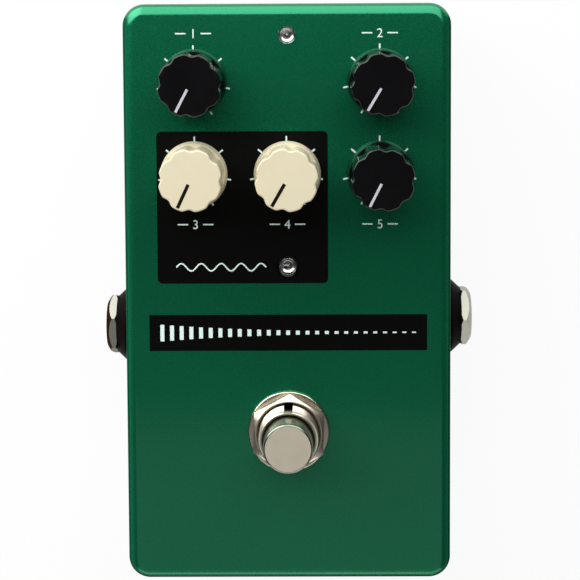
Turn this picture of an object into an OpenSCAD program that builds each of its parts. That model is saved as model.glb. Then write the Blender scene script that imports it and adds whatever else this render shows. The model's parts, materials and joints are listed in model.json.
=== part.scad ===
// Tape echo pedal: a cast stomp box with five dials, a foot switch, two side jacks and two lamps.
// Frame: millimetres, +Z up out of the panel, +Y towards the power end, +X towards the input jack.
// The origin is on the ground, under the middle of the pedal.

/* [Enclosure] */
// Width of the enclosure, between the outer faces of the two jack walls
body_w = 66; // [62:0.5:90]
// Length of the enclosure, from the foot end to the power end
body_l = 117.6; // [116:0.2:160]
// Height of the cast shell, from its open rim to the panel
shell_h = 34; // [32:0.5:60]
// Thickness of the four side walls
wall_t = 2.3; // [1.8:0.1:3.2]
// Thickness of the panel
panel_t = 2.4; // [1.8:0.1:3.2]
// Radius of the upright corners
corner_r = 4.4; // [4:0.1:6]
// Radius of the rounded edge round the panel
edge_r = 2.3; // [0.8:0.1:3]
// Thickness of the base plate
plate_t = 2; // [1.2:0.1:4]
// Diameter of the screw posts in the corners
boss_d = 6.8; // [6:0.1:8]
// Distance of a screw post's centre from the two walls' outer faces
boss_inset = 5.4; // [5:0.1:6.5]
// Diameter of the base plate screws
screw_d = 3; // [2.5:0.1:3.5]
// Length of the base plate screws
screw_l = 10; // [8:0.5:16]
// Diameter of a screw's countersunk head
screw_head_d = 5.5; // [5:0.1:6.5]
// Diameter of the rubber feet
foot_d = 11; // [8:0.5:16]
// Height of the rubber feet
foot_h = 2.5; // [1.5:0.1:6]
// Distance of a foot's centre from the enclosure's side and end
foot_inset = 15; // [13:0.5:20]

/* [Dials] */
// Distance between the columns of dials
dial_pitch_x = 18.75; // [17:0.05:23]
// Distance between the two rows of dials
dial_pitch_y = 18.45; // [17:0.05:23]
// Distance of the upper row from the power end
upper_row_inset = 15.7; // [15:0.1:20]
// Diameter of a knob's round skirt
skirt_d = 13.5; // [13.2:0.1:17]
// Height of the skirt
skirt_h = 2.6; // [2.2:0.1:4]
// Diameter of a knob's fluted grip at its top
grip_d = 12.5; // [11.5:0.1:13]
// Height of the knob's top above the panel
knob_top = 13.85; // [12:0.05:20]
// Gap between the panel and the skirt
knob_gap = 0.8; // [0.4:0.1:1.5]
// Number of flutes round the grip
flute_count = 8; // [6:1:12]
// Depth of a flute
flute_depth = 0.5; // [0.2:0.05:0.8]
// Radius of a flute
flute_r = 2; // [1:0.1:2.5]
// Width of the pointer line on the black knobs
pointer_w = 0.5; // [0.3:0.05:1]
// Width of the pointer line on the cream knobs
cream_pointer_w = 0.65; // [0.3:0.05:1]

/* [Potentiometers] */
// Diameter of a shaft
shaft_d = 6; // [5:0.1:6.4]
// Wall of a threaded bushing round its shaft
pot_bushing_wall = 0.45; // [0.4:0.05:1]
// Wall of a potentiometer's case round its rotor
pot_wall = 0.6; // [0.5:0.1:1.5]
// How much longer than wide a potentiometer's case is
pot_extra_l = 1.5; // [1:0.1:3]
// Height of a potentiometer's case, from the board to the panel
pot_h = 7; // [6.5:0.1:9]
// Wall of a potentiometer's nut, from its thread to a flat
pot_nut_wall = 1.5; // [1.2:0.1:1.6]
// Thickness of a potentiometer's nut
pot_nut_t = 1.8; // [1.4:0.1:2]
// Thickness of the washer under that nut
pot_washer_t = 0.5; // [0.3:0.1:0.7]

/* [Foot switch] */
// Distance of the foot switch from the foot end
switch_inset = 31; // [24:0.1:36]
// Wall of the foot switch's threaded bushing
bushing_wall = 1; // [0.8:0.05:1.5]
// Height of the bushing's top above the panel
bushing_top = 9; // [6:0.1:11]
// Diameter of the plunger
plunger_d = 9.9; // [9:0.1:10.2]
// Height of the plunger's top above the panel
plunger_top = 15.8; // [14:0.1:22]
// Travel of the plunger
plunger_travel = 3.5; // [2:0.1:4]
// How far the washer on the panel stands out past the nut's flats
switch_washer_lip = 1.15; // [0.5:0.05:2.5]
// Thickness of that washer
switch_washer_t = 0.9; // [0.5:0.1:1.5]
// Wall of the foot switch's nuts, from the thread to a flat
switch_nut_wall = 1.1; // [1:0.1:2]
// Thickness of the outer nut
switch_nut_t = 2.5; // [2:0.1:3.5]
// Thickness of the lock nut inside the panel
lock_nut_t = 3; // [2:0.1:4]
// Side of the square switch case
switch_w = 17; // [16:0.1:20]
// Turns of the return spring
spring_turns = 6; // [4:1:8]
// Diameter of the spring's wire
spring_wire_d = 0.7; // [0.5:0.05:0.8]

/* [Jacks] */
// Distance of the input jack from the middle of the enclosure, towards the power end
input_y = -7; // [-12:0.1:0]
// Distance of the output jack from the middle of the enclosure, towards the power end
output_y = -8.6; // [-12:0.1:0]
// Bore of the jacks, for a quarter inch plug
jack_bore_d = 6.5; // [6.45:0.05:6.8]
// Wall of a jack's threaded sleeve
jack_sleeve_wall = 1.25; // [1.2:0.05:1.8]
// Height and width of a jack's case
jack_w = 12; // [11.5:0.1:14]
// Length of a jack's case
jack_l = 20; // [18:0.5:21]
// How far the washer under a jack's nut flares out past its outer face
jack_washer_flare = 1.7; // [0.5:0.05:2.5]
// Thickness of that washer
jack_washer_t = 3.05; // [2:0.05:4]
// Wall of a jack's nut, from the thread to a flat
jack_nut_wall = 1.15; // [1:0.05:2]
// Thickness of a jack's nut
jack_nut_t = 2.15; // [1.8:0.05:3]

/* [Lamps and power] */
// Diameter of the lamps
led_d = 3; // [2.5:0.1:4]
// Height of the lamps' tops above the panel
led_top = 1.3; // [0.8:0.1:2]
// Distance of the status lamp from the power end
status_led_inset = 6.25; // [5.8:0.05:7]
// Distance of the rate lamp from the middle of the enclosure, towards the power end
rate_led_y = 5.8; // [4:0.1:8]
// Bore of the power inlet
inlet_bore_d = 6.3; // [6:0.1:6.6]
// Diameter of the power inlet's centre pin
inlet_pin_d = 2.1; // [1.9:0.1:2.5]
// Width of the power inlet's case
inlet_w = 10; // [9:0.5:12]
// Height of the power inlet's case
inlet_h = 11; // [10.5:0.5:13]
// Length of the power inlet's case
inlet_l = 14; // [12:0.5:16]

/* [Boards] */
// Thickness of the circuit boards
board_t = 1.6; // [1:0.1:2]
// Space between the main board and the walls
board_gap = 1.2; // [0.8:0.1:3]
// Width of the flat cable between the boards
ribbon_w = 10; // [6:0.5:14]
// Thickness of the flat cable
ribbon_t = 0.9; // [0.6:0.1:1.2]

/* [Fits] */
// Radial clearance of a shaft or plunger in its bush
run_clear = 0.05; // [0.02:0.01:0.1]
// Radial clearance of a fixed piece in its hole
seat_clear = 0.1; // [0.05:0.01:0.2]
// Clearance of a push fit
push_clear = 0.03; // [0.02:0.01:0.05]
// Gap between pieces that move past each other
move_gap = 0.3; // [0.2:0.05:0.5]

/* [Hidden] */
$fn = 64;

// How far a cut runs past the face that it opens, and the gap between faces that rest together
over = 1;
face_gap = 0.05;

// Finishes
paint = [0.10, 0.33, 0.20];
cream = [0.88, 0.84, 0.72];
black = [0.07, 0.07, 0.07];
white = [0.95, 0.95, 0.95];
nickel = [0.72, 0.70, 0.64];
chrome = [0.80, 0.81, 0.82];
brass = [0.76, 0.62, 0.30];
board_green = [0.05, 0.30, 0.16];
pot_grey = [0.55, 0.58, 0.60];
switch_blue = [0.10, 0.22, 0.55];
sleeve_blue = [0.12, 0.16, 0.35];
resistor_grey = [0.15, 0.15, 0.17];
cable_grey = [0.60, 0.60, 0.58];
clear_resin = [0.92, 0.94, 0.92];

// Heights of the enclosure's levels
rim_z = foot_h + plate_t;
panel_z = rim_z + shell_h;
ceiling_z = panel_z - panel_t;
board_top_z = ceiling_z - pot_h;
board_z = board_top_z - board_t;
half_w = body_w / 2;
half_l = body_l / 2;
inner_x = half_w - wall_t;
inner_y = half_l - wall_t;

// Dials: place on the panel, clockwise angle of the pointer from twelve o'clock, and finish
upper_row_y = half_l - upper_row_inset;
lower_row_y = upper_row_y - dial_pitch_y;
TIME = 0;
REGEN = 1;
DEPTH = 2;
SPEED = 3;
LEVEL = 4;
dial_at = [
    [-dial_pitch_x, upper_row_y],
    [dial_pitch_x, upper_row_y],
    [-dial_pitch_x, lower_row_y],
    [0, lower_row_y],
    [dial_pitch_x, lower_row_y]
];
dial_turn = [-152.5, -149, -155, -150, -153];
dial_finish = [black, black, cream, cream, black];
pointer_finish = [white, white, black, black, white];
pointer_width = [pointer_w, pointer_w, cream_pointer_w, cream_pointer_w, pointer_w];

// Potentiometers
pot_bushing_d = shaft_d + 2 * (run_clear + pot_bushing_wall);
pot_nut_af = pot_bushing_d + 2 * pot_nut_wall;
pot_nut_chamfer = 0.4;
pot_washer_d = pot_nut_af + 1;
rotor_d = shaft_d + 2.2;
rotor_t = 2.1;
rotor_z = 2.2;
pot_w = rotor_d + 2 * (move_gap + pot_wall);
pot_l = pot_w + pot_extra_l;
bushing_end = 0.6;
bushing_proud = pot_washer_t + pot_nut_t + bushing_end;
terminal_pitch = 2.5;
terminal_count = 3;
terminal_w = 0.8;
terminal_t = 0.5;
terminal_inset = 1.5;
solder_tail = 1.2;
pin_hole_d = 1.2;

// Knobs, measured upwards from the skirt's lower edge; the skirt clears the nut's corners
knob_h = knob_top - knob_gap;
skirt_wall = 0.65;
skirt_out_d = max(skirt_d, pot_nut_af / cos(30) + 2 * (move_gap + skirt_wall));
skirt_lip = 0.35;
grip_taper = 0.25;
grip_bevel = 0.4;
crown_t = 2.2;
pointer_depth = 0.35;
pointer_start = 0.8;
pointer_margin = 0.45;
pointer_end = grip_d / 2 - pointer_margin;
nut_room = 0.7;
knob_hollow_top = pot_washer_t + pot_nut_t + nut_room;
knob_neck_top = bushing_proud + 2 * move_gap;
shaft_top = knob_top - crown_t;
shaft_flat = shaft_d / 4;

// Foot switch
switch_y = -half_l + switch_inset;
switch_cover_t = 1;
switch_cover_z = ceiling_z - lock_nut_t;
switch_top_z = switch_cover_z - switch_cover_t;
switch_floor_t = 2;
flange_t = 1.2;
spring_slack = 1.1;
spring_room = plunger_travel + (spring_turns + 1) * spring_wire_d + spring_slack;
switch_h = switch_floor_t + spring_room + flange_t + move_gap;
switch_floor_z = switch_top_z - switch_h + switch_floor_t;
strap_t = 0.6;
strap_l = 9;
strap_w = 12;
flange_lip = 0.7;
flange_d = plunger_d + 2 * flange_lip;
switch_well_d = flange_d + 4 * move_gap;
plunger_bevel = 0.6;
bushing_d = plunger_d + 2 * (run_clear + bushing_wall);
bushing_bevel = 0.3;
switch_nut_af = bushing_d + 2 * switch_nut_wall;
switch_nut_chamfer = 0.6;
lock_nut_chamfer = 0.4;
switch_washer_d = switch_nut_af + 2 * switch_washer_lip;
switch_washer_bevel = 0.4;
thread_pitch = 0.75;
thread_depth = 0.22;
keyway_w = 1.7;
keyway_depth = 0.6;
lug_pitch = 5.3;
lug_w = 2;
lug_t = 0.8;
lug_l = 4.2;
lug_seat = 1.4;
switch_board_w = 20;
switch_board_l = 19;
switch_board_gap = 1.2;
switch_board_top_z = switch_top_z - switch_h - switch_board_gap;
spring_inset = 0.8;
spring_d = plunger_d - 2 * spring_inset;
spring_seat_z = switch_floor_z + push_clear;
spring_h = spring_room - 2 * push_clear;

// Jacks, with the cases hung under the main board
jack_sleeve_d = jack_bore_d + 2 * jack_sleeve_wall;
jack_nut_af = jack_sleeve_d + 2 * jack_nut_wall;
jack_nut_chamfer = 1.3;
jack_nut_face_inset = 0.9;
jack_z = board_z - jack_w / 2;
jack_end_x = half_w + jack_washer_t + jack_nut_t;
jack_front = inner_x - jack_end_x - face_gap;
jack_back = jack_front - jack_l;
jack_chamber_d = jack_bore_d + 2;
jack_back_t = 1.5;
jack_sleeve_recess = 0.15;
jack_washer_step = 0.35;
jack_washer_face_d = jack_nut_af + 2 * jack_washer_step;
jack_washer_d = jack_washer_face_d + 2 * jack_washer_flare;
jacks = [[1, input_y], [-1, output_y]];
input_nut_turn = 0;
output_nut_turn = -19;
contact_t = 0.4;
contact_w = 3;
contact_l = 9;
contact_stand = 1;
tail_w = 1.6;

// Power inlet, hung under the main board at the power end
inlet_z = board_z - inlet_h / 2;
inlet_collar_wall = 1.3;
inlet_collar_d = inlet_bore_d + 2 * inlet_collar_wall;
inlet_depth = 10;
inlet_tail_x = 3;
inlet_recess = 0.3;
inlet_leaf_short = 2;
inlet_front_y = inner_y - face_gap;

// Lamps
status_led_y = half_l - status_led_inset;
led_body_h = 5.3;
led_rim = 0.4;
led_flange_d = led_d + 2 * led_rim;
led_flange_t = 1;
led_lead_pitch = 1.27;
led_lead_w = 0.45;

// Main board: a wide field between the walls and a tongue between the upper screw posts
post_x = half_w - boss_inset;
post_y = half_l - boss_inset;
board_hw = inner_x - board_gap;
board_overhang = 0.8;
board_low_y = min(input_y, output_y) - jack_w / 2 - board_overhang;
board_high_y = post_y - boss_d / 2 - board_gap;
tongue_hw = post_x - boss_d / 2 - board_gap;
tongue_high_y = inner_y - board_gap;
chip_l = 10;
chip_w = 4;
chip_t = 1.6;
chip_leg_pitch = 1.27;
chip_leg_count = 8;
chip_leg_w = 0.45;
chip_leg_t = 0.3;
chip_leg_out = 1;
chip_stand = 0.1;
can_d = 5;
can_h = 7;
can_round = 0.3;
can_groove_z = 5.7;
can_columns = 4;
can_pitch_x = board_hw / 2.4;
can_rows = 2;
can_pitch_y = 7;
can_low_y = lower_row_y - 8;
resistor_l = 3.2;
resistor_w = 1.6;
resistor_t = 0.6;
resistor_count = 6;
resistor_low_x = inlet_w / 2 + resistor_w;
resistor_pitch = (board_hw - resistor_w - resistor_low_x) / (resistor_count - 1);
ribbon_bend_r = 2.5;
ribbon_drop_inset = 2;
ribbon_end_inset = 3;

// Flat outlines and small shapes that several pieces share

// A rectangle with round corners, centred
module rounded_rect(w, l, r) {
    square([w - 2 * r, l], center = true);
    square([w, l - 2 * r], center = true);
    for (sx = [-1, 1]) {
        for (sy = [-1, 1]) {
            translate([sx * (w / 2 - r), sy * (l / 2 - r)]) circle(r = r);
        }
    }
}

// A regular hexagon's prism whose corner points along +Y, with its upper corners turned off
module hex_nut(af, t, bore_d, chamfer, face_inset = 0.1) {
    corner = af / 2 / cos(30);
    corner_step = 0.1;
    difference() {
        intersection() {
            rotate([0, 0, 30]) cylinder(r = corner, h = t, $fn = 6);
            rotate_extrude() polygon([
                [0, 0],
                [corner + corner_step, 0],
                [corner + corner_step, t - chamfer],
                [af / 2 - face_inset, t],
                [0, t]
            ]);
        }
        translate([0, 0, -over]) cylinder(d = bore_d, h = t + 2 * over);
    }
}

// Puts its children at the four places that mirror one corner
module four_corners(x, y) {
    for (sx = [-1, 1]) {
        for (sy = [-1, 1]) {
            translate([sx * x, sy * y, 0]) children();
        }
    }
}

// Puts its children on a jack's axis: +Z is outwards from the nut's outer face, and -X is up
module at_jack(side, y) {
    translate([0, y, jack_z]) mirror([side < 0 ? 1 : 0, 0, 0]) translate([jack_end_x, 0, 0])
        rotate([0, 90, 0]) children();
}

// Enclosure

// Section of the shell's edge, outwards from a corner's axis and upwards from the rim
module edge_section() {
    square([corner_r, shell_h - edge_r]);
    square([corner_r - edge_r, shell_h]);
    translate([corner_r - edge_r, shell_h - edge_r]) intersection() {
        circle(r = edge_r);
        square(edge_r);
    }
}

module shell_block() {
    flat_x = half_w - corner_r;
    flat_y = half_l - corner_r;
    translate([-flat_x, -flat_y, 0]) cube([2 * flat_x, 2 * flat_y, shell_h]);
    for (turn = [0, 180]) {
        rotate([0, 0, turn]) translate([flat_x, flat_y, 0]) rotate([90, 0, 0])
            linear_extrude(2 * flat_y) edge_section();
        rotate([0, 0, turn]) translate([-flat_x, flat_y, 0]) rotate([90, 0, 90])
            linear_extrude(2 * flat_x) edge_section();
    }
    for (corner = [[1, 1, 0], [-1, 1, 90], [-1, -1, 180], [1, -1, 270]]) {
        translate([corner[0] * flat_x, corner[1] * flat_y, 0]) rotate([0, 0, corner[2]])
            rotate_extrude(angle = 90) edge_section();
    }
}

module enclosure_shell() {
    color(paint) difference() {
        union() {
            difference() {
                translate([0, 0, rim_z]) shell_block();
                translate([0, 0, rim_z - over]) linear_extrude(shell_h - panel_t + over)
                    rounded_rect(body_w - 2 * wall_t, body_l - 2 * wall_t, corner_r - wall_t);
            }
            four_corners(post_x, post_y)
                translate([0, 0, rim_z]) cylinder(d = boss_d, h = shell_h - panel_t / 2);
        }
        four_corners(post_x, post_y)
            translate([0, 0, rim_z - over]) cylinder(d = screw_d + 2 * push_clear, h = screw_l + over);
        for (at = dial_at) {
            translate([at[0], at[1], ceiling_z - over])
                cylinder(d = pot_bushing_d + 2 * seat_clear, h = panel_t + 2 * over);
        }
        for (y = [status_led_y, rate_led_y]) {
            translate([0, y, ceiling_z - over]) cylinder(d = led_d + 3 * seat_clear, h = panel_t + 2 * over);
        }
        translate([0, switch_y, ceiling_z - over])
            cylinder(d = bushing_d + 2 * seat_clear, h = panel_t + 2 * over);
        for (jack = jacks) {
            at_jack(jack[0], jack[1]) translate([0, 0, jack_front - over])
                cylinder(d = jack_sleeve_d + 2 * seat_clear, h = wall_t + 2 * over);
        }
        translate([0, inner_y - over, inlet_z]) rotate([-90, 0, 0])
            cylinder(d = inlet_collar_d + 3 * seat_clear, h = wall_t + 2 * over);
    }
}

module base_plate() {
    sink_h = (screw_head_d - screw_d) / 2;
    color(paint) translate([0, 0, foot_h]) difference() {
        linear_extrude(plate_t) rounded_rect(body_w, body_l, corner_r);
        four_corners(post_x, post_y) translate([0, 0, -over])
            cylinder(d = screw_d + 2 * seat_clear, h = plate_t + 2 * over);
        four_corners(post_x, post_y)
            cylinder(d1 = screw_head_d + 2 * seat_clear, d2 = screw_d + 2 * seat_clear, h = sink_h);
    }
}

module base_screws() {
    sink_h = (screw_head_d - screw_d) / 2;
    recess_w = 0.8;
    recess_l = 3.2;
    recess_depth = 0.9;
    color(black) four_corners(post_x, post_y) translate([0, 0, foot_h]) difference() {
        union() {
            cylinder(d1 = screw_head_d, d2 = screw_d, h = sink_h);
            cylinder(d = screw_d, h = screw_l);
        }
        for (turn = [0, 90]) {
            rotate([0, 0, turn]) translate([-recess_l / 2, -recess_w / 2, -over])
                cube([recess_l, recess_w, recess_depth + over]);
        }
    }
}

module rubber_feet() {
    sole_bevel = 0.7;
    color(black) four_corners(half_w - foot_inset, half_l - foot_inset) rotate_extrude() polygon([
        [0, 0],
        [foot_d / 2 - 2 * sole_bevel, 0],
        [foot_d / 2 - sole_bevel, sole_bevel],
        [foot_d / 2, foot_h],
        [0, foot_h]
    ]);
}

// Dials

// Puts its children on the panel at a dial, turned to where its pointer rests
module at_dial(i) {
    translate([dial_at[i][0], dial_at[i][1], panel_z]) rotate([0, 0, -dial_turn[i]]) children();
}

// A shaft's section with its flat side towards -Y
module flatted(d, flat) {
    intersection() {
        circle(d = d);
        translate([-d, -d / 2 + flat]) square([2 * d, 2 * d]);
    }
}

module pointer_bar(w, clear) {
    translate([-w / 2 - clear, pointer_start - clear, knob_top - pointer_depth])
        cube([w + 2 * clear, pointer_end - pointer_start + 2 * clear, pointer_depth + clear]);
}

module knob(i) {
    color(dial_finish[i]) at_dial(i) difference() {
        translate([0, 0, knob_gap]) rotate_extrude() polygon([
            [0, 0],
            [skirt_out_d / 2 - skirt_lip / 2, 0],
            [skirt_out_d / 2, skirt_lip],
            [skirt_out_d / 2, skirt_h - skirt_lip],
            [grip_d / 2 + grip_taper, skirt_h],
            [grip_d / 2, knob_h - grip_bevel],
            [grip_d / 2 - grip_bevel, knob_h],
            [0, knob_h]
        ]);
        for (k = [0 : flute_count - 1]) {
            rotate([0, 0, (k + 0.5) * 360 / flute_count])
                translate([0, grip_d / 2 - flute_depth + flute_r, knob_gap + skirt_h])
                cylinder(r = flute_r, h = knob_h);
        }
        cylinder(d = skirt_out_d - 2 * skirt_wall, h = knob_hollow_top);
        cylinder(d = pot_bushing_d + 4 * move_gap, h = knob_neck_top);
        linear_extrude(shaft_top + push_clear) flatted(shaft_d + 2 * push_clear, shaft_flat);
        pointer_bar(pointer_width[i], push_clear);
    }
}

module pointer(i) {
    color(pointer_finish[i]) at_dial(i) pointer_bar(pointer_width[i], 0);
}

module shaft(i) {
    round_top = bushing_proud;
    rotor_base = -panel_t - pot_h + rotor_z;
    color(nickel) at_dial(i) union() {
        translate([0, 0, round_top]) linear_extrude(shaft_top - round_top)
            flatted(shaft_d, shaft_flat + push_clear);
        translate([0, 0, rotor_base]) cylinder(d = shaft_d, h = round_top - rotor_base);
        translate([0, 0, rotor_base]) cylinder(d = rotor_d, h = rotor_t);
    }
}

module pot(i) {
    case_z = -panel_t - pot_h;
    color(pot_grey) translate([dial_at[i][0], dial_at[i][1], panel_z]) difference() {
        union() {
            translate([-pot_w / 2, -pot_l / 2, case_z]) cube([pot_w, pot_l, pot_h]);
            translate([0, 0, case_z]) cylinder(d = pot_bushing_d, h = bushing_proud - case_z);
        }
        translate([0, 0, case_z + rotor_z]) cylinder(d = shaft_d + 2 * run_clear, h = 3 * pot_h);
        translate([0, 0, case_z + rotor_z - move_gap])
            cylinder(d = rotor_d + 2 * move_gap, h = rotor_t + 2 * move_gap);
    }
}

module pot_nuts() {
    color(nickel) for (at = dial_at) {
        translate([at[0], at[1], panel_z + pot_washer_t])
            hex_nut(pot_nut_af, pot_nut_t, pot_bushing_d + 2 * push_clear, pot_nut_chamfer);
    }
}

module pot_washers() {
    color(nickel) for (at = dial_at) {
        translate([at[0], at[1], panel_z]) difference() {
            cylinder(d = pot_washer_d, h = pot_washer_t);
            translate([0, 0, -over])
                cylinder(d = pot_bushing_d + 2 * seat_clear, h = pot_washer_t + 2 * over);
        }
    }
}

// Puts its children at each potentiometer terminal, on the board's upper face
module at_terminals() {
    for (at = dial_at) {
        for (k = [0 : terminal_count - 1]) {
            translate([
                at[0] + (k - (terminal_count - 1) / 2) * terminal_pitch,
                at[1] - pot_l / 2 + terminal_inset,
                board_top_z
            ]) children();
        }
    }
}

module pot_terminals() {
    color(nickel) at_terminals()
        translate([-terminal_w / 2, -terminal_t / 2, -board_t - solder_tail])
        cube([terminal_w, terminal_t, board_t + solder_tail]);
}

// Foot switch

module at_switch() {
    translate([0, switch_y, 0]) children();
}

module footswitch_plunger() {
    bottom = switch_top_z - move_gap - flange_t;
    top = panel_z + plunger_top;
    color(nickel) at_switch() rotate_extrude() polygon([
        [0, bottom],
        [flange_d / 2, bottom],
        [flange_d / 2, bottom + flange_t],
        [plunger_d / 2, bottom + flange_t],
        [plunger_d / 2, top - plunger_bevel],
        [plunger_d / 2 - plunger_bevel, top],
        [0, top]
    ]);
}

module footswitch_bushing() {
    thread_low = panel_z + switch_washer_t + switch_nut_t + bushing_bevel;
    top = panel_z + bushing_top;
    thread_top = top - bushing_bevel;
    count = floor((thread_top - thread_low - bushing_bevel) / thread_pitch);
    bore = plunger_d / 2 + run_clear;
    outer = bushing_d / 2;
    ridges = [
        for (k = [0 : count - 1])
            for (step = [[0, 0], [0.5, -thread_depth]])
                [outer + step[1], thread_low + (k + step[0]) * thread_pitch]
    ];
    color(nickel) at_switch() difference() {
        rotate_extrude() polygon(concat(
            [[bore, switch_top_z], [outer, switch_top_z]],
            ridges,
            [[outer, thread_low + count * thread_pitch], [outer, thread_top], [outer - bushing_bevel, top]],
            [[bore, top]]
        ));
        translate([-keyway_w / 2, outer - keyway_depth, panel_z])
            cube([keyway_w, outer, bushing_top + over]);
    }
}

module footswitch_nut() {
    slight_turn = -2;
    color(nickel) at_switch() translate([0, 0, panel_z + switch_washer_t]) rotate([0, 0, slight_turn])
        hex_nut(switch_nut_af, switch_nut_t, bushing_d + 2 * push_clear, switch_nut_chamfer);
}

module footswitch_washer() {
    color(nickel) at_switch() translate([0, 0, panel_z]) difference() {
        rotate_extrude() polygon([
            [0, 0],
            [switch_washer_d / 2, 0],
            [switch_washer_d / 2, switch_washer_t - switch_washer_bevel],
            [switch_washer_d / 2 - switch_washer_bevel, switch_washer_t],
            [0, switch_washer_t]
        ]);
        translate([0, 0, -over]) cylinder(d = bushing_d + 2 * seat_clear, h = switch_washer_t + 2 * over);
    }
}

module footswitch_lock_nut() {
    color(nickel) at_switch() translate([0, 0, switch_cover_z])
        hex_nut(switch_nut_af, lock_nut_t, bushing_d + 2 * push_clear, lock_nut_chamfer);
}

// Puts its children at each of the nine lugs, on the case's lower face
module at_lugs() {
    for (column = [-1 : 1]) {
        for (row = [-1 : 1]) {
            translate([column * lug_pitch, row * lug_pitch, switch_top_z - switch_h]) children();
        }
    }
}

module footswitch_case() {
    color(switch_blue) at_switch() difference() {
        translate([-switch_w / 2, -switch_w / 2, switch_top_z - switch_h])
            cube([switch_w, switch_w, switch_h]);
        translate([0, 0, switch_floor_z]) cylinder(d = switch_well_d, h = switch_h);
        at_lugs() translate([-lug_w / 2 - push_clear, -lug_t / 2 - push_clear, -over])
            cube([lug_w + 2 * push_clear, lug_t + 2 * push_clear, lug_seat + push_clear + over]);
    }
}

module footswitch_cover() {
    outer_w = switch_w + 2 * (strap_t + push_clear);
    color(chrome) at_switch() difference() {
        union() {
            translate([-outer_w / 2, -switch_w / 2, switch_top_z]) cube([outer_w, switch_w, switch_cover_t]);
            for (side = [-1, 1]) {
                x = side * (outer_w - strap_t) / 2;
                translate([x - strap_t / 2, -strap_w / 2, switch_top_z - strap_l])
                    cube([strap_t, strap_w, strap_l + switch_cover_t]);
            }
        }
        translate([0, 0, switch_top_z - over])
            cylinder(d = bushing_d + 2 * push_clear, h = switch_cover_t + 2 * over);
    }
}

module footswitch_lugs() {
    color(chrome) at_switch() at_lugs()
        translate([-lug_w / 2, -lug_t / 2, -lug_l]) cube([lug_w, lug_t, lug_l + lug_seat]);
}

// Points of a ring of the spring's wire, at one place along its helix
function spring_ring(place, sides) = let (
    turn = place * 360 * spring_turns,
    radius = (spring_d - spring_wire_d) / 2,
    rise = spring_seat_z + spring_wire_d / 2 + place * (spring_h - spring_wire_d)
) [
    for (k = [0 : sides - 1])
        let (a = k * 360 / sides, r = radius + spring_wire_d / 2 * cos(a))
        [r * cos(turn), r * sin(turn), rise + spring_wire_d / 2 * sin(a)]
];

module footswitch_spring() {
    sides = 6;
    rings = 8 * spring_turns + 1;
    points = [for (n = [0 : rings - 1]) each spring_ring(n / (rings - 1), sides)];
    walls = [
        for (n = [0 : rings - 2])
            for (k = [0 : sides - 1])
                let (a = n * sides + k, b = n * sides + (k + 1) % sides)
                each [[a, b, b + sides], [a, b + sides, a + sides]]
    ];
    first = [for (k = [1 : sides - 2]) [0, k + 1, k]];
    end = (rings - 1) * sides;
    last = [for (k = [1 : sides - 2]) [end, end + k, end + k + 1]];
    color(chrome) at_switch() polyhedron(points, concat(walls, first, last));
}

module footswitch_board() {
    color(board_green) at_switch() difference() {
        translate([-switch_board_w / 2, -switch_board_l / 2, switch_board_top_z - board_t])
            cube([switch_board_w, switch_board_l, board_t]);
        at_lugs() translate([-lug_w / 2 - seat_clear, -lug_t / 2 - seat_clear, -2 * lug_l])
            cube([lug_w + 2 * seat_clear, lug_t + 2 * seat_clear, 4 * lug_l]);
    }
}

// Lamps

module led(y) {
    base = panel_z + led_top - led_body_h;
    color(clear_resin) translate([0, y, base]) union() {
        cylinder(d = led_flange_d, h = led_flange_t);
        cylinder(d = led_d, h = led_body_h - led_d / 2);
        translate([0, 0, led_body_h - led_d / 2]) sphere(d = led_d);
    }
}

module led_leads() {
    base = panel_z + led_top - led_body_h;
    color(chrome) for (y = [status_led_y, rate_led_y]) {
        for (side = [-1, 1]) {
            translate([side * led_lead_pitch - led_lead_w / 2, y - led_lead_w / 2, board_z])
                cube([led_lead_w, led_lead_w, base - board_z]);
        }
    }
}

// Jacks

module jack_case(side, y) {
    color(black) at_jack(side, y) difference() {
        translate([-jack_w / 2, -jack_w / 2, jack_back]) cube([jack_w, jack_w, jack_l]);
        translate([0, 0, jack_back + jack_back_t]) cylinder(d = jack_chamber_d, h = jack_l);
        jack_leaf(seat_clear);
    }
}

module jack_sleeve(side, y) {
    seat_l = 3;
    thread_l = -jack_front - jack_sleeve_recess;
    color(chrome) at_jack(side, y) difference() {
        union() {
            translate([0, 0, jack_front]) cylinder(d = jack_sleeve_d, h = thread_l);
            translate([0, 0, jack_front - seat_l])
                cylinder(d = jack_chamber_d - 2 * push_clear, h = seat_l + over);
        }
        translate([0, 0, jack_front - seat_l - over])
            cylinder(d = jack_bore_d, h = thread_l + seat_l + 2 * over);
    }
}

module jack_washer(side, y) {
    low = half_w - jack_end_x;
    flange = 1.1;
    face_h = 0.15;
    color(black) at_jack(side, y) translate([0, 0, low]) difference() {
        rotate_extrude() polygon([
            [0, 0],
            [jack_washer_d / 2, 0],
            [jack_washer_d / 2, flange],
            [jack_washer_face_d / 2, jack_washer_t - face_h],
            [jack_washer_face_d / 2, jack_washer_t],
            [0, jack_washer_t]
        ]);
        translate([0, 0, -over]) cylinder(d = jack_sleeve_d + 2 * push_clear, h = jack_washer_t + 2 * over);
    }
}

module jack_nut(side, y, turn) {
    color(chrome) at_jack(side, y) translate([0, 0, -jack_nut_t]) rotate([0, 0, 90 + turn])
        hex_nut(jack_nut_af, jack_nut_t, jack_sleeve_d + 2 * push_clear, jack_nut_chamfer, jack_nut_face_inset);
}

// The leaf of a jack's contact, along the chamber's wall and out through the back
module jack_leaf(clear) {
    translate([-contact_w / 2 - clear, -jack_chamber_d / 2 - clear, jack_back - contact_stand])
        cube([contact_w + 2 * clear, contact_t + 2 * clear, contact_l + contact_stand + clear]);
}

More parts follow.
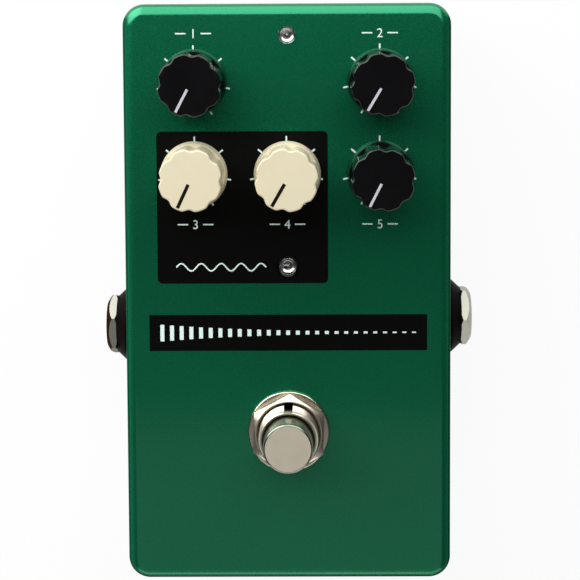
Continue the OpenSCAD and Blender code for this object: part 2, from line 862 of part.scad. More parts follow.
// The tail of a jack's contact, behind the case and up through the board
module jack_tail(clear) {
    top = jack_w / 2 + board_t + solder_tail;
    translate([-top - clear, -jack_chamber_d / 2 - clear, jack_back - contact_stand - clear])
        cube([top + contact_w / 2 + 2 * clear, tail_w + 2 * clear, contact_t + 2 * clear]);
}

module jack_contact(side, y) {
    color(brass) at_jack(side, y) union() {
        jack_leaf(0);
        jack_tail(0);
    }
}

// Power inlet, opening at the power end

// Puts its children on the inlet's axis: +Z is outwards from the case's front, and -Y is up
module at_inlet() {
    translate([0, inlet_front_y, inlet_z]) rotate([-90, 0, 0]) children();
}

// An upright tail behind the inlet's case, through the board
module inlet_tail(x, low, clear) {
    top = inlet_h / 2 + board_t + solder_tail;
    translate([x - tail_w / 2 - clear, -top - clear, -inlet_l - contact_stand - clear])
        cube([tail_w + 2 * clear, top + low + 2 * clear, terminal_t + 2 * clear]);
}

module power_inlet_case() {
    color(black) at_inlet() difference() {
        union() {
            translate([-inlet_w / 2, -inlet_h / 2, -inlet_l]) cube([inlet_w, inlet_h, inlet_l]);
            translate([0, 0, -over])
                cylinder(d = inlet_collar_d, h = half_l - inlet_front_y - inlet_recess + over);
        }
        translate([0, 0, -inlet_depth]) cylinder(d = inlet_bore_d, h = inlet_depth + 2 * wall_t);
        translate([0, 0, -inlet_l - over]) cylinder(d = inlet_pin_d + 2 * push_clear, h = inlet_l);
        inlet_leaf(seat_clear);
    }
}

module power_inlet_pin() {
    tip_round = 0.4;
    pin_l = inlet_l + contact_stand;
    color(chrome) at_inlet() union() {
        translate([0, 0, -pin_l]) rotate_extrude() polygon([
            [0, 0],
            [inlet_pin_d / 2, 0],
            [inlet_pin_d / 2, pin_l - tip_round],
            [inlet_pin_d / 2 - tip_round, pin_l],
            [0, pin_l]
        ]);
        inlet_tail(0, inlet_pin_d / 2, 0);
    }
}

// The leaf of the inlet's sleeve contact, along the bore's lower side and out through the back
module inlet_leaf(clear) {
    leaf_l = inlet_l - inlet_leaf_short + contact_stand;
    translate([-contact_w / 2 - clear, inlet_bore_d / 2 - clear, -inlet_l - contact_stand])
        cube([contact_w + 2 * clear, contact_t + 2 * clear, leaf_l + clear]);
}

module power_inlet_contact() {
    color(brass) at_inlet() union() {
        inlet_leaf(0);
        translate([-contact_w / 2, inlet_bore_d / 2, -inlet_l - contact_stand])
            cube([contact_w / 2 + inlet_tail_x + tail_w / 2, contact_t, terminal_t]);
        inlet_tail(inlet_tail_x, inlet_bore_d / 2 + contact_t, 0);
    }
}

// Boards

module main_board() {
    color(board_green) difference() {
        union() {
            translate([-board_hw, board_low_y, board_z])
                cube([2 * board_hw, board_high_y - board_low_y, board_t]);
            translate([-tongue_hw, board_low_y, board_z])
                cube([2 * tongue_hw, tongue_high_y - board_low_y, board_t]);
        }
        at_terminals() translate([0, 0, -board_t - over]) cylinder(d = pin_hole_d, h = board_t + 2 * over);
        for (y = [status_led_y, rate_led_y]) {
            for (side = [-1, 1]) {
                translate([side * led_lead_pitch, y, board_z - over])
                    cylinder(d = pin_hole_d, h = board_t + 2 * over);
            }
        }
        for (jack = jacks) {
            at_jack(jack[0], jack[1]) jack_tail(2 * seat_clear);
        }
        for (x = [0, inlet_tail_x]) {
            at_inlet() inlet_tail(x, 0, 2 * seat_clear);
        }
    }
}

// One small-outline chip, hung under the board with its legs along its long sides
module chip() {
    leg_l = chip_w + 2 * chip_leg_out;
    translate([-chip_l / 2, -chip_w / 2, -chip_t]) cube([chip_l, chip_w, chip_t - chip_stand]);
    for (k = [0 : chip_leg_count - 1]) {
        translate([(k - (chip_leg_count - 1) / 2) * chip_leg_pitch - chip_leg_w / 2, -leg_l / 2, -chip_leg_t])
            cube([chip_leg_w, leg_l, chip_leg_t]);
    }
}

module chips() {
    color(black) for (column = [-1 : 1]) {
        translate([column * dial_pitch_x, (lower_row_y + upper_row_y) / 2, board_z]) chip();
    }
}

// One capacitor's can, hung under the board, with a groove rolled round it
module can() {
    translate([0, 0, -can_h]) rotate_extrude() polygon([
        [0, 0],
        [can_d / 2 - can_round, 0],
        [can_d / 2, can_round],
        [can_d / 2, can_groove_z - can_round],
        [can_d / 2 - can_round, can_groove_z],
        [can_d / 2, can_groove_z + can_round],
        [can_d / 2, can_h],
        [0, can_h]
    ]);
}

module capacitors() {
    color(sleeve_blue) for (column = [0 : can_columns - 1]) {
        for (row = [0 : can_rows - 1]) {
            x = (column - (can_columns - 1) / 2) * can_pitch_x;
            translate([x, can_low_y + row * can_pitch_y, board_z]) can();
        }
    }
}

module resistors() {
    color(resistor_grey) for (k = [0 : resistor_count - 1]) {
        for (side = [-1, 1]) {
            x = side * (resistor_low_x + k * resistor_pitch);
            translate([x - resistor_w / 2, upper_row_y - resistor_l / 2, board_z - resistor_t])
                cube([resistor_w, resistor_l, resistor_t]);
        }
    }
}

// Down from the main board and across to the foot switch's board, with one round bend
module ribbon_cable() {
    drop_y = board_low_y + ribbon_drop_inset;
    end_y = switch_y + switch_board_l / 2 - ribbon_end_inset;
    low_z = switch_board_top_z + face_gap;
    bend_y = drop_y + ribbon_t - ribbon_bend_r;
    bend_z = low_z + ribbon_bend_r;
    color(cable_grey) translate([-ribbon_w / 2, 0, 0]) rotate([90, 0, 90]) linear_extrude(ribbon_w) union() {
        translate([drop_y, bend_z]) square([ribbon_t, board_z - face_gap - bend_z]);
        translate([end_y, low_z]) square([bend_y - end_y, ribbon_t]);
        translate([bend_y, bend_z]) difference() {
            intersection() {
                circle(r = ribbon_bend_r);
                translate([0, -ribbon_bend_r]) square([ribbon_bend_r, ribbon_bend_r]);
            }
            circle(r = ribbon_bend_r - ribbon_t);
        }
    }
}

enclosure_shell();
base_plate();
base_screws();
rubber_feet();
knob(TIME);  // time_knob
knob(REGEN);  // regen_knob
knob(DEPTH);  // depth_knob
knob(SPEED);  // speed_knob
knob(LEVEL);  // level_knob
pointer(TIME);  // time_pointer
pointer(REGEN);  // regen_pointer
pointer(DEPTH);  // depth_pointer
pointer(SPEED);  // speed_pointer
pointer(LEVEL);  // level_pointer
shaft(TIME);  // time_shaft
shaft(REGEN);  // regen_shaft
shaft(DEPTH);  // depth_shaft
shaft(SPEED);  // speed_shaft
shaft(LEVEL);  // level_shaft
pot(TIME);  // time_pot
pot(REGEN);  // regen_pot
pot(DEPTH);  // depth_pot
pot(SPEED);  // speed_pot
pot(LEVEL);  // level_pot
pot_nuts();
pot_washers();
pot_terminals();
footswitch_plunger();
footswitch_bushing();
footswitch_nut();
footswitch_washer();
footswitch_lock_nut();
footswitch_case();
footswitch_cover();
footswitch_lugs();
footswitch_spring();
footswitch_board();
led(status_led_y);  // status_led
led(rate_led_y);  // rate_led
led_leads();
jack_case(1, input_y);  // input_jack_case
jack_sleeve(1, input_y);  // input_jack_sleeve
jack_washer(1, input_y);  // input_jack_washer
jack_nut(1, input_y, input_nut_turn);  // input_jack_nut
jack_contact(1, input_y);  // input_jack_contact
jack_case(-1, output_y);  // output_jack_case
jack_sleeve(-1, output_y);  // output_jack_sleeve
jack_washer(-1, output_y);  // output_jack_washer
jack_nut(-1, output_y, output_nut_turn);  // output_jack_nut
jack_contact(-1, output_y);  // output_jack_contact
power_inlet_case();
power_inlet_pin();
power_inlet_contact();
main_board();
chips();
capacitors();
resistors();
ribbon_cable();
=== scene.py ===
"""Looks of a tape echo pedal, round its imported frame: metres, +Z out of the panel, +Y towards the power end."""
import json
from math import cos, exp, pi, radians, sin

import bmesh
import bpy
from mathutils import Matrix, Vector


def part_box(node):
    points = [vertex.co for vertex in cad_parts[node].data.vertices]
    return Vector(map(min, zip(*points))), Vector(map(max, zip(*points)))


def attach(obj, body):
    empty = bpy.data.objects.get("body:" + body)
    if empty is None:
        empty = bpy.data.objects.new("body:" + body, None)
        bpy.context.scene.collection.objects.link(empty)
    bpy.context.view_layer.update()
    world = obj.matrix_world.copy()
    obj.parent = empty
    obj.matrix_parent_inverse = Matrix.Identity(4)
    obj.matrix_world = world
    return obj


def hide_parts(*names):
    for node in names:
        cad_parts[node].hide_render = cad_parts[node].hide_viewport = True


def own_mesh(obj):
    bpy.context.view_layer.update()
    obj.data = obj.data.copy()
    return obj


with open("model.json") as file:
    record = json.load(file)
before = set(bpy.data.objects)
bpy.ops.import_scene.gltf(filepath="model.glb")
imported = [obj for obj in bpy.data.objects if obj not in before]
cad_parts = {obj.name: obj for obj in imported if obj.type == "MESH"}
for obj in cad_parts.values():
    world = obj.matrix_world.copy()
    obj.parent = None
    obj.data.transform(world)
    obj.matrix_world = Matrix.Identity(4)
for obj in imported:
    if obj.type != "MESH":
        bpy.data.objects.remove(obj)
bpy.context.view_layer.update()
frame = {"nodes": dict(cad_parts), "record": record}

MM = 0.001
PER_METRE = 1000
# Vertices nearer than these, in metres, become one: in a bevel, and along the seam of a turned piece
SLIVER = 2e-7
SEAM = 1e-6
DIALS = ("time", "regen", "depth", "speed", "level")
CREAM_DIALS = ("depth", "speed")
# Where the pointers stand, in degrees clockwise from the power end
DIAL_TURN = {"time": -152.5, "regen": -149, "depth": -155, "speed": -150, "level": -153}


def middle(node):
    """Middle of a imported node's box."""
    low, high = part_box(node)
    return (low + high) / 2


SHELL_LOW, SHELL_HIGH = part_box("enclosure_shell")
PANEL_Z = SHELL_HIGH.z
SWITCH = middle("footswitch_plunger")
LAMPS = {"status": middle("status_led"), "rate": middle("rate_led")}
DIAL_AT = {dial: middle(dial + "_shaft") for dial in DIALS}
JACKS = ((1, "input"), (-1, "output"))

# The jack nuts' ends are part of a ball: its radius in mm, and its centre on the output jack's axis
DOME_R = 10.1
DOME_DEPTH = 6.8
JACK_WASHER_T = 3.05
JACK_NUT_T = 2.15
OUTPUT_AXIS = middle("output_jack_sleeve")
OUTPUT_DOME = Vector((SHELL_LOW.x - (JACK_WASHER_T - DOME_DEPTH) * MM, OUTPUT_AXIS.y, OUTPUT_AXIS.z))

# Modelling: selections, edit mode, and the moves that most pieces share


def only(piece):
    """Selects one piece and makes it the active one."""
    bpy.ops.object.select_all(action="DESELECT")
    piece.select_set(True)
    bpy.context.view_layer.objects.active = piece
    return piece


def edit(piece):
    only(piece)
    bpy.ops.object.mode_set(mode="EDIT")


def leave():
    bpy.ops.object.mode_set(mode="OBJECT")


def pick(kind, test):
    """Selects the edges or faces of the edited mesh that pass a test."""
    bpy.ops.mesh.select_mode(type=kind)
    bpy.ops.mesh.select_all(action="DESELECT")
    mesh = bpy.context.edit_object.data
    shape = bmesh.from_edit_mesh(mesh)
    for part in {"EDGE": shape.edges, "FACE": shape.faces}[kind]:
        part.select_set(bool(test(part)))
    bmesh.update_edit_mesh(mesh)


def upright(edge):
    """True for an edge that stands along Z."""
    way = edge.verts[1].co - edge.verts[0].co
    return abs(way.z) > 0.9 * way.length


def round_picked(width, segments):
    """Rounds the selected edges by a width in mm."""
    bpy.ops.mesh.bevel(offset=width * MM, segments=segments, profile=0.5)


def draw_out(x, y, z):
    """Extrudes what is selected by a way in metres."""
    bpy.ops.mesh.extrude_region_move(TRANSFORM_OT_translate={"value": (x, y, z)})


def weld(gap):
    """Merges the vertices of the edited mesh that are nearer than a gap in metres."""
    bpy.ops.mesh.select_all(action="SELECT")
    bpy.ops.mesh.remove_doubles(threshold=gap)


def face_outwards():
    """Turns every face of the edited mesh outwards and leaves edit mode."""
    bpy.ops.mesh.select_all(action="SELECT")
    bpy.ops.mesh.normals_make_consistent(inside=False)
    leave()


def freeze(piece):
    """Applies a piece's place, turn and size to its mesh, so that its object is at the origin."""
    bpy.ops.object.transform_apply(location=True, rotation=True, scale=True)
    return piece


def settle(piece, at=(0, 0, 0), turn=(0, 0, 0)):
    """Puts a piece in its place and leaves its object at the origin."""
    only(piece)
    piece.rotation_euler = turn
    piece.location = at
    return freeze(piece)


def axes(side, up, out):
    """A turn that points X, Y and Z along three given directions."""
    return Matrix((side, up, out)).transposed().to_4x4()


def lay(piece, at, side, up, out):
    """Puts a piece that was made upright so that its X, Y and Z point along three given directions."""
    only(piece)
    piece.matrix_world = Matrix.Translation(at) @ axes(side, up, out)
    return freeze(piece)


def span(piece):
    """Lowest and highest corner of a piece's own mesh."""
    spots = [vertex.co for vertex in piece.data.vertices]
    return [Vector([end(spot[k] for spot in spots) for k in range(3)]) for end in (min, max)]


def block(name, low, high):
    """A box between two corners, in mm."""
    low, high = Vector(low) * MM, Vector(high) * MM
    bpy.ops.mesh.primitive_cube_add(size=1, location=(low + high) / 2, scale=high - low)
    piece = bpy.context.object
    piece.name = name
    return freeze(piece)


def rod(radius, low, high, at=(0, 0), sides=64, top_radius=None):
    """An upright round or many-sided bar, in mm above the origin, at a place in metres."""
    bpy.ops.mesh.primitive_cone_add(
        vertices=sides, radius1=radius * MM, radius2=(radius if top_radius is None else top_radius) * MM,
        depth=(high - low) * MM, location=(at[0], at[1], (low + high) / 2 * MM))
    return freeze(bpy.context.object)


def chain(name, points):
    """A string of edges through points in mm, left in edit mode with all of it selected."""
    bpy.ops.mesh.primitive_plane_add(size=MM)
    piece = bpy.context.object
    piece.name = name
    edit(piece)
    bpy.ops.mesh.select_mode(type="VERT")
    bpy.ops.mesh.select_all(action="SELECT")
    bpy.ops.mesh.merge(type="CENTER")
    points = [Vector(point) * MM for point in points]
    bpy.ops.transform.translate(value=points[0])
    for here, there in zip(points, points[1:]):
        bpy.ops.mesh.extrude_vertices_move(TRANSFORM_OT_translate={"value": there - here})
    bpy.ops.mesh.select_all(action="SELECT")
    return piece


def turned(name, section, steps=96):
    """A piece turned about Z from a section: radius and height in mm, from axis to axis or closed on itself."""
    piece = chain(name, [(radius, 0, height) for radius, height in section])
    bpy.ops.mesh.spin(steps=steps, angle=2 * pi, center=(0, 0, 0), axis=(0, 0, 1))
    weld(SEAM)
    face_outwards()
    return piece


def ring(name, section, steps=96):
    """A turned piece with a bore: the section closes on itself."""
    return turned(name, list(section) + [section[0]], steps)


def sawn(name, outline, low, high):
    """A piece sawn to a flat outline: pairs in mm, going round once, between two heights."""
    piece = chain(name, [(x, y, low) for x, y in outline])
    bpy.ops.mesh.edge_face_add()
    draw_out(0, 0, (high - low) * MM)
    face_outwards()
    return piece


def arc(centre, radius, start, end, count):
    """Points of a round corner in a section, by the angle from the outward direction, in degrees."""
    angles = [radians(start + (end - start) * k / count) for k in range(count + 1)]
    return [(centre[0] + radius * cos(a), centre[1] + radius * sin(a)) for a in angles]


def circle(count):
    """Points of a circle of radius 1."""
    return [(cos(2 * pi * k / count), sin(2 * pi * k / count)) for k in range(count)]


def change(piece, kind, **settings):
    """Adds a modifier with its settings to the active piece and applies it."""
    bpy.ops.object.modifier_add(type=kind)
    added = piece.modifiers[-1]
    for key, value in settings.items():
        setattr(added, key, value)
    bpy.ops.object.modifier_apply(modifier=added.name)


def carve(piece, *tools, operation="DIFFERENCE"):
    """Cuts each tool out of a piece, adds it or keeps what they share, and removes the tool."""
    for tool in tools:
        only(piece)
        change(piece, "BOOLEAN", operation=operation, solver="EXACT", object=tool)
        bpy.data.objects.remove(tool)
    return piece


def soften(piece, width, segments=3, angle=35):
    """Joins level faces, rounds sharp edges by a width in mm, merges slivers, and shades flat faces evenly."""
    edit(piece)
    bpy.ops.mesh.select_all(action="SELECT")
    bpy.ops.mesh.dissolve_limited(angle_limit=radians(0.2))
    leave()
    if width:
        sharp = {"limit_method": "ANGLE", "angle_limit": radians(angle)}
        change(piece, "BEVEL", **sharp, width=width * MM, segments=segments)
    edit(piece)
    weld(SLIVER)
    leave()
    bpy.ops.object.shade_smooth_by_angle(angle=radians(angle))
    change(piece, "WEIGHTED_NORMAL", keep_sharp=True)
    return piece


def copied(piece, name):
    only(piece)
    bpy.ops.object.duplicate()
    made = bpy.context.object
    made.name = name
    return made


def joined(name, pieces):
    """Several pieces as one object."""
    bpy.ops.object.select_all(action="DESELECT")
    for piece in pieces:
        piece.select_set(True)
    bpy.context.view_layer.objects.active = pieces[0]
    bpy.ops.object.join()
    pieces[0].name = name
    return pieces[0]


def repeated(name, pattern, places):
    """Copies of a pattern at several places, as one object; the pattern goes."""
    made = [settle(copied(pattern, pattern.name), at) for at in places]
    bpy.data.objects.remove(pattern)
    return joined(name, made)


def fit(piece, finish, body="chassis", stands_for=()):
    """Gives a piece its finish and puts it on its body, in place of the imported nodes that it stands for."""
    piece.data.materials.clear()
    piece.data.materials.append(finish)
    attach(piece, body)
    if stands_for:
        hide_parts(*stands_for)
    return piece


# Finishes: shader sockets as values, and one method for every node


class Wire:
    """A shader socket. Arithmetic on it adds Math nodes."""

    def __init__(self, tree, socket):
        self.tree = tree
        self.socket = socket

    def _math(self, operation, first, second):
        made = self.tree.nodes.new("ShaderNodeMath")
        made.operation = operation
        for socket, value in zip(made.inputs, (first, second)):
            if isinstance(value, Wire):
                self.tree.links.new(value.socket, socket)
            else:
                socket.default_value = value
        return Wire(self.tree, made.outputs[0])

    def __add__(self, other):
        return self._math("ADD", self, other)

    def __sub__(self, other):
        return self._math("SUBTRACT", self, other)

    def __rsub__(self, other):
        return self._math("SUBTRACT", other, self)

    def __mul__(self, other):
        return self._math("MULTIPLY", self, other)

    def __lt__(self, other):
        return self._math("LESS_THAN", self, other)

    def __gt__(self, other):
        return self._math("GREATER_THAN", self, other)

    __radd__ = __add__
    __rmul__ = __mul__


class Finish:
    """A material being made."""

    def __init__(self, name):
        self.material = bpy.data.materials.new(name)
        self.material.use_nodes = True
        self.tree = self.material.node_tree
        self.tree.nodes.clear()
        self.place = self.node("ShaderNodeTexCoord", out="Object")

    def node(self, kind, settings=None, sockets=None, out=0):
        """Any node: its settings first, then values or links for its sockets, and one of its outputs back."""
        made = self.tree.nodes.new(kind)
        for key, value in (settings or {}).items():
            setattr(made, key, value)
        for key, value in (sockets or {}).items():
            if isinstance(value, Wire):
                self.tree.links.new(value.socket, made.inputs[key])
            else:
                made.inputs[key].default_value = value
        return Wire(self.tree, made.outputs[out]) if made.outputs else None

    def noise(self, size, detail=2.0):
        """Soft noise from 0 to 1, with features of a size in mm."""
        sockets = {"Vector": self.place, "Scale": 1 / (size * MM), "Detail": detail}
        return self.node("ShaderNodeTexNoise", sockets=sockets, out="Fac")

    def specks(self, size):
        """A random value from 0 to 1 for each speck of a size in mm."""
        sockets = {"Vector": self.place, "Scale": 1 / (size * MM)}
        cells = self.node("ShaderNodeTexVoronoi", sockets=sockets, out="Color")
        return self.node("ShaderNodeSeparateColor", sockets={"Color": cells}, out="Red")

    def away(self, centre):
        """The way from a point to the place, in metres."""
        return self.node("ShaderNodeVectorMath", {"operation": "SUBTRACT"}, {0: self.place, 1: centre})

    def length(self, way):
        return self.node("ShaderNodeVectorMath", {"operation": "LENGTH"}, {0: way}, out="Value")

    def radius(self, centre):
        """Distance from an upright axis, in mm."""
        sockets = {0: self.away(centre), 1: (PER_METRE, PER_METRE, 0)}
        return self.length(self.node("ShaderNodeVectorMath", {"operation": "MULTIPLY"}, sockets))

    def part(self, axis):
        """One coordinate of the place, in metres."""
        return self.node("ShaderNodeSeparateXYZ", sockets={0: self.place}, out=axis)

    def ramp(self, value, start, end):
        """0 to 1 as a value goes from a start to an end."""
        return self.node("ShaderNodeMapRange", sockets={"Value": value, "From Min": start, "From Max": end})

    def beyond(self, centre, reach, thick=0.2):
        """1 in a narrow layer just beyond a distance from a point, both in mm, else 0."""
        far = self.length(self.away(centre)) * PER_METRE
        return (reach < far) * (far < reach + thick)

    def blend(self, share, first, second):
        """A colour between two."""
        sockets = {0: share, 6: first, 7: second}
        return self.node("ShaderNodeMix", {"data_type": "RGBA", "clamp_factor": True}, sockets, out=2)

    def relief(self, height, depth):
        """A bump of a depth in mm."""
        return self.node("ShaderNodeBump", sockets={"Height": height, "Distance": depth * MM, "Strength": 1.0})

    def surface(self, **sockets):
        """The finished surface; underscores in socket names stand for spaces."""
        named = {key.replace("_", " "): value for key, value in sockets.items()}
        shader = self.node("ShaderNodeBsdfPrincipled", sockets=named)
        self.node("ShaderNodeOutputMaterial", sockets={"Surface": shader})
        return self.material


def colour(red, green, blue):
    return (red, green, blue, 1.0)


# Paint, in mm: the panel's depth, its bare lamp holes, the rate lamp's countersink, the depths over which painted
# shade on the rolled edge comes in and goes again, and the strip along the power end where none is painted
PANEL_DEPTH = 3.0
BARE_HOLE_R = 1.7
RATE_SINK_R = 2.36
EDGE_SHADE_IN = (0.08, 0.9)
EDGE_SHADE_OUT = (2.5, 1.5)
UNSHADED_END = (2.0, 3.0)


def metallic_paint():
    """Green paint with fine metal flake under a clear coat; painted shade darkens the rolled edges, all but the
    power end's, and takes most flake and coat off them.
    """
    f = Finish("green_metallic_paint")
    flake = f.specks(0.10)
    cloud = f.noise(25)
    depth = (PANEL_Z - f.part("Z")) * PER_METRE
    panel = depth < PANEL_DEPTH
    rate_spot = f.radius(LAMPS["rate"])
    drilled = panel * ((f.radius(LAMPS["status"]) < BARE_HOLE_R) + (rate_spot < BARE_HOLE_R))
    tone = 0.34 + 0.16 * flake + 0.20 * cloud
    green = f.blend(tone, colour(0.0045, 0.160, 0.069), colour(0.0120, 0.290, 0.130))
    green = f.blend(panel * (rate_spot < RATE_SINK_R), green, colour(0.0010, 0.0035, 0.0028))
    # Painted shade on the rolled edges, left off along the power end: darker green with little metal and coat
    rolled = f.ramp(depth, *EDGE_SHADE_IN) * f.ramp(depth, *EDGE_SHADE_OUT)
    edge_shade = rolled * f.ramp(f.part("Y"), *[SHELL_HIGH.y - inset * MM for inset in UNSHADED_END])
    green = f.blend(0.92 * edge_shade, green, colour(0.0016, 0.048, 0.021))
    return f.surface(
        Base_Color=f.blend(drilled, green, colour(0.70, 0.70, 0.69)),
        Metallic=(0.82 + 0.18 * drilled) * (1 - edge_shade),
        Roughness=0.26 + 0.04 * flake,
        Specular_IOR_Level=0.0,
        Specular_Tint=colour(0.05, 0.45, 0.25),
        Coat_Weight=(1 - drilled) * (1 - edge_shade),
        Coat_Roughness=0.10,
        Coat_IOR=1.36,
        Normal=f.relief(0.8 * f.noise(1.4) + 0.2 * flake, 0.006),
    )


def black_ink():
    f = Finish("black_screen_ink")
    grain = f.noise(0.3)
    return f.surface(
        Base_Color=f.blend(grain, colour(0.0005, 0.0006, 0.0005), colour(0.0014, 0.0016, 0.0013)),
        Roughness=0.30 + 0.10 * grain,
        Specular_IOR_Level=0.12,
        Normal=f.relief(f.noise(0.25), 0.004),
    )


def white_ink():
    f = Finish("white_screen_ink")
    grain = f.noise(0.25)
    return f.surface(
        Base_Color=f.blend(grain, colour(0.67, 0.86, 0.79), colour(0.80, 0.97, 0.90)),
        Roughness=0.45 + 0.1 * grain,
        Normal=f.relief(grain, 0.004),
    )


def knob_moulding(name, dark, light, roughness, specular):
    """Moulded plastic with a fine spark-eroded grain and faint cloudiness."""
    f = Finish(name)
    grain = f.noise(0.12)
    cloud = f.noise(5.0, 4.0)
    return f.surface(
        Base_Color=f.blend(0.35 * grain + 0.65 * cloud, dark, light),
        Roughness=roughness - 0.06 + 0.12 * cloud,
        Specular_IOR_Level=specular,
        Normal=f.relief(grain, 0.004),
    )


def line_filling(name, dark, light):
    """Filler wiped into the knobs' pointer grooves."""
    f = Finish(name)
    grain = f.noise(0.2)
    return f.surface(
        Base_Color=f.blend(grain, dark, light),
        Roughness=0.5 + 0.2 * grain,
        Specular_IOR_Level=0.1,
        Normal=f.relief(grain, 0.01),
    )


# Plate of the foot switch, in mm from its axis: the plunger's dull top and its side, darkened as a painted
# reflection of the green panel, and the painted shadow in the bushing's keyway, with its height over the panel
DULL_TOP_R = 4.5
SIDE_REFLECTION_R = (4.6, 4.98)
KEY_SHADOW_HALF_W = 0.9
KEY_SHADOW = (5.45, 6.05)
KEY_SHADOW_TOP = 6.7


def nickel_plate(name, roughness):
    """Nickel with faint turning marks round the foot switch's axis, a painted reflection on the plunger's side
    and a painted shadow in the keyway.
    """
    f = Finish(name)
    spot = f.radius(SWITCH)
    sockets = {"W": spot, "Scale": 14.0, "Detail": 3.0}
    rings = f.node("ShaderNodeTexNoise", {"noise_dimensions": "1D"}, sockets, out="Fac")
    stain = f.noise(3.0, 4.0)
    dull = spot < DULL_TOP_R
    plate = f.blend(0.6 * stain + 0.4 * rings, colour(0.62, 0.56, 0.45), colour(0.80, 0.73, 0.61))
    plate = f.blend(0.5 * dull, plate, colour(0.78, 0.71, 0.57))
    # Painted reflection: the plunger's side turns dark grey-green, as if it mirrored the green panel
    plate = f.blend((SIDE_REFLECTION_R[0] < spot) * (spot < SIDE_REFLECTION_R[1]), plate, colour(0.24, 0.27, 0.22))
    # Painted shadow: near black in the bushing's keyway, up to a height over the panel
    across = (f.part("X") - SWITCH.x) * PER_METRE
    along = (f.part("Y") - SWITCH.y) * PER_METRE
    keyway = (-KEY_SHADOW_HALF_W < across) * (across < KEY_SHADOW_HALF_W)
    keyway *= (KEY_SHADOW[0] < along) * (spot < KEY_SHADOW[1]) * (f.part("Z") < PANEL_Z + KEY_SHADOW_TOP * MM)
    return f.surface(
        Base_Color=f.blend(keyway, plate, colour(0.030, 0.026, 0.022)),
        Metallic=1.0,
        Roughness=roughness + 0.08 * rings + 0.08 * stain + 0.42 * dull,
        Normal=f.relief(rings, 0.002),
    )


def jack_plate(name, edge):
    """Plate on the jacks, with a tint at its edges; the dome of the output jack's nut is painted near-black
    brown, a painted dark reflection.
    """
    f = Finish(name)
    stain = f.noise(2.0, 4.0)
    # Painted dark reflection: a thin shell over the output nut's dome turns near-black brown
    painted_dark_dome = f.beyond(OUTPUT_DOME, DOME_R - 0.03)
    plate = f.blend(stain, colour(0.34, 0.34, 0.29), colour(0.44, 0.43, 0.37))
    return f.surface(
        Base_Color=f.blend(painted_dark_dome, plate, colour(0.040, 0.022, 0.020)),
        Metallic=1.0,
        Roughness=0.34 + 0.10 * stain,
        Specular_Tint=edge,
        Normal=f.relief(f.noise(0.6), 0.003),
    )


def plain_metal(name, dark, light, roughness, grain_size=0.4):
    """Tinned, rolled or turned metal of the inner pieces."""
    f = Finish(name)
    grain = f.noise(grain_size, 4.0)
    return f.surface(
        Base_Color=f.blend(grain, dark, light),
        Metallic=1.0,
        Roughness=roughness - 0.08 + 0.16 * grain,
        Normal=f.relief(grain, 0.004),
    )


# The part of the lamps' cups from the die to the rim, in mm from the axis, that is rougher and painted dark grey
# as shade
SHADED_CUP_R = (0.11, 0.42)


def lamp_frame():
    """Plated frame inside the lamps: polished on its rim and on the die, rougher in the cup, where dark grey is
    painted shade.
    """
    f = Finish("lamp_frame_metal")
    grain = f.noise(0.2, 4.0)
    spots = [f.radius(at) for at in LAMPS.values()]
    # Painted shade: the cup's floor turns dark grey, and is rougher too
    dull = sum(((SHADED_CUP_R[0] < spot) * (spot < SHADED_CUP_R[1]) for spot in spots), 0.0)
    plate = f.blend(grain, colour(0.76, 0.72, 0.71), colour(0.92, 0.89, 0.88))
    return f.surface(
        Base_Color=f.blend(dull, plate, colour(0.15, 0.14, 0.14)),
        Metallic=1.0,
        Roughness=0.22 + 0.16 * grain + 0.15 * dull,
        Normal=f.relief(grain, 0.004),
    )


def plain_moulding(name, dark, light, roughness, grain_size=0.3, depth=0.01, specular=0.5):
    """Moulded plastic, sleeve or rubber."""
    f = Finish(name)
    grain = f.noise(grain_size, 3.0)
    cloud = f.noise(4.0)
    return f.surface(
        Base_Color=f.blend(0.5 * grain + 0.5 * cloud, dark, light),
        Roughness=roughness - 0.06 + 0.12 * grain,
        Specular_IOR_Level=specular,
        Normal=f.relief(grain, depth),
    )


def solder_mask():
    """Circuit board lacquer over rows of copper tracks."""
    f = Finish("solder_mask")
    sockets = {"Vector": f.place, "Scale": 180.0, "Mortar Size": 0.12}
    tracks = f.node("ShaderNodeTexBrick", {"offset": 0.5}, sockets, out="Fac")
    grain = f.noise(0.5)
    tone = 0.8 * tracks + 0.2 * grain
    return f.surface(
        Base_Color=f.blend(tone, colour(0.010, 0.080, 0.035), colour(0.030, 0.190, 0.080)),
        Roughness=0.32 + 0.15 * grain,
        Normal=f.relief(tracks, 0.02),
    )


def clear_resin():
    f = Finish("clear_resin")
    haze = f.noise(0.5)
    return f.surface(
        Base_Color=f.blend(haze, colour(0.95, 0.96, 0.95), colour(0.99, 0.99, 0.99)),
        Roughness=0.01 + 0.02 * haze,
        Transmission_Weight=1.0,
        IOR=1.53,
    )


PAINT = metallic_paint()
BLACK_INK = black_ink()
WHITE_INK = white_ink()
BLACK_KNOB = knob_moulding(
    "black_knob_moulding", colour(0.0022, 0.0022, 0.0027), colour(0.0050, 0.0048, 0.0054), 0.13, specular=0.5)
CREAM_KNOB = knob_moulding(
    "cream_knob_moulding", colour(0.68, 0.607, 0.423), colour(0.767, 0.704, 0.510), 0.30, specular=0.3)
WHITE_LINE = line_filling("white_line_filling", colour(0.44, 0.43, 0.48), colour(0.62, 0.61, 0.66))
BLACK_LINE = line_filling("black_line_filling", colour(0.003, 0.002, 0.0012), colour(0.009, 0.005, 0.003))
NICKEL = nickel_plate("bright_nickel", 0.10)
SATIN_NICKEL = nickel_plate("satin_nickel", 0.24)
CHROME = jack_plate("bright_chrome", colour(1.0, 1.0, 0.98))
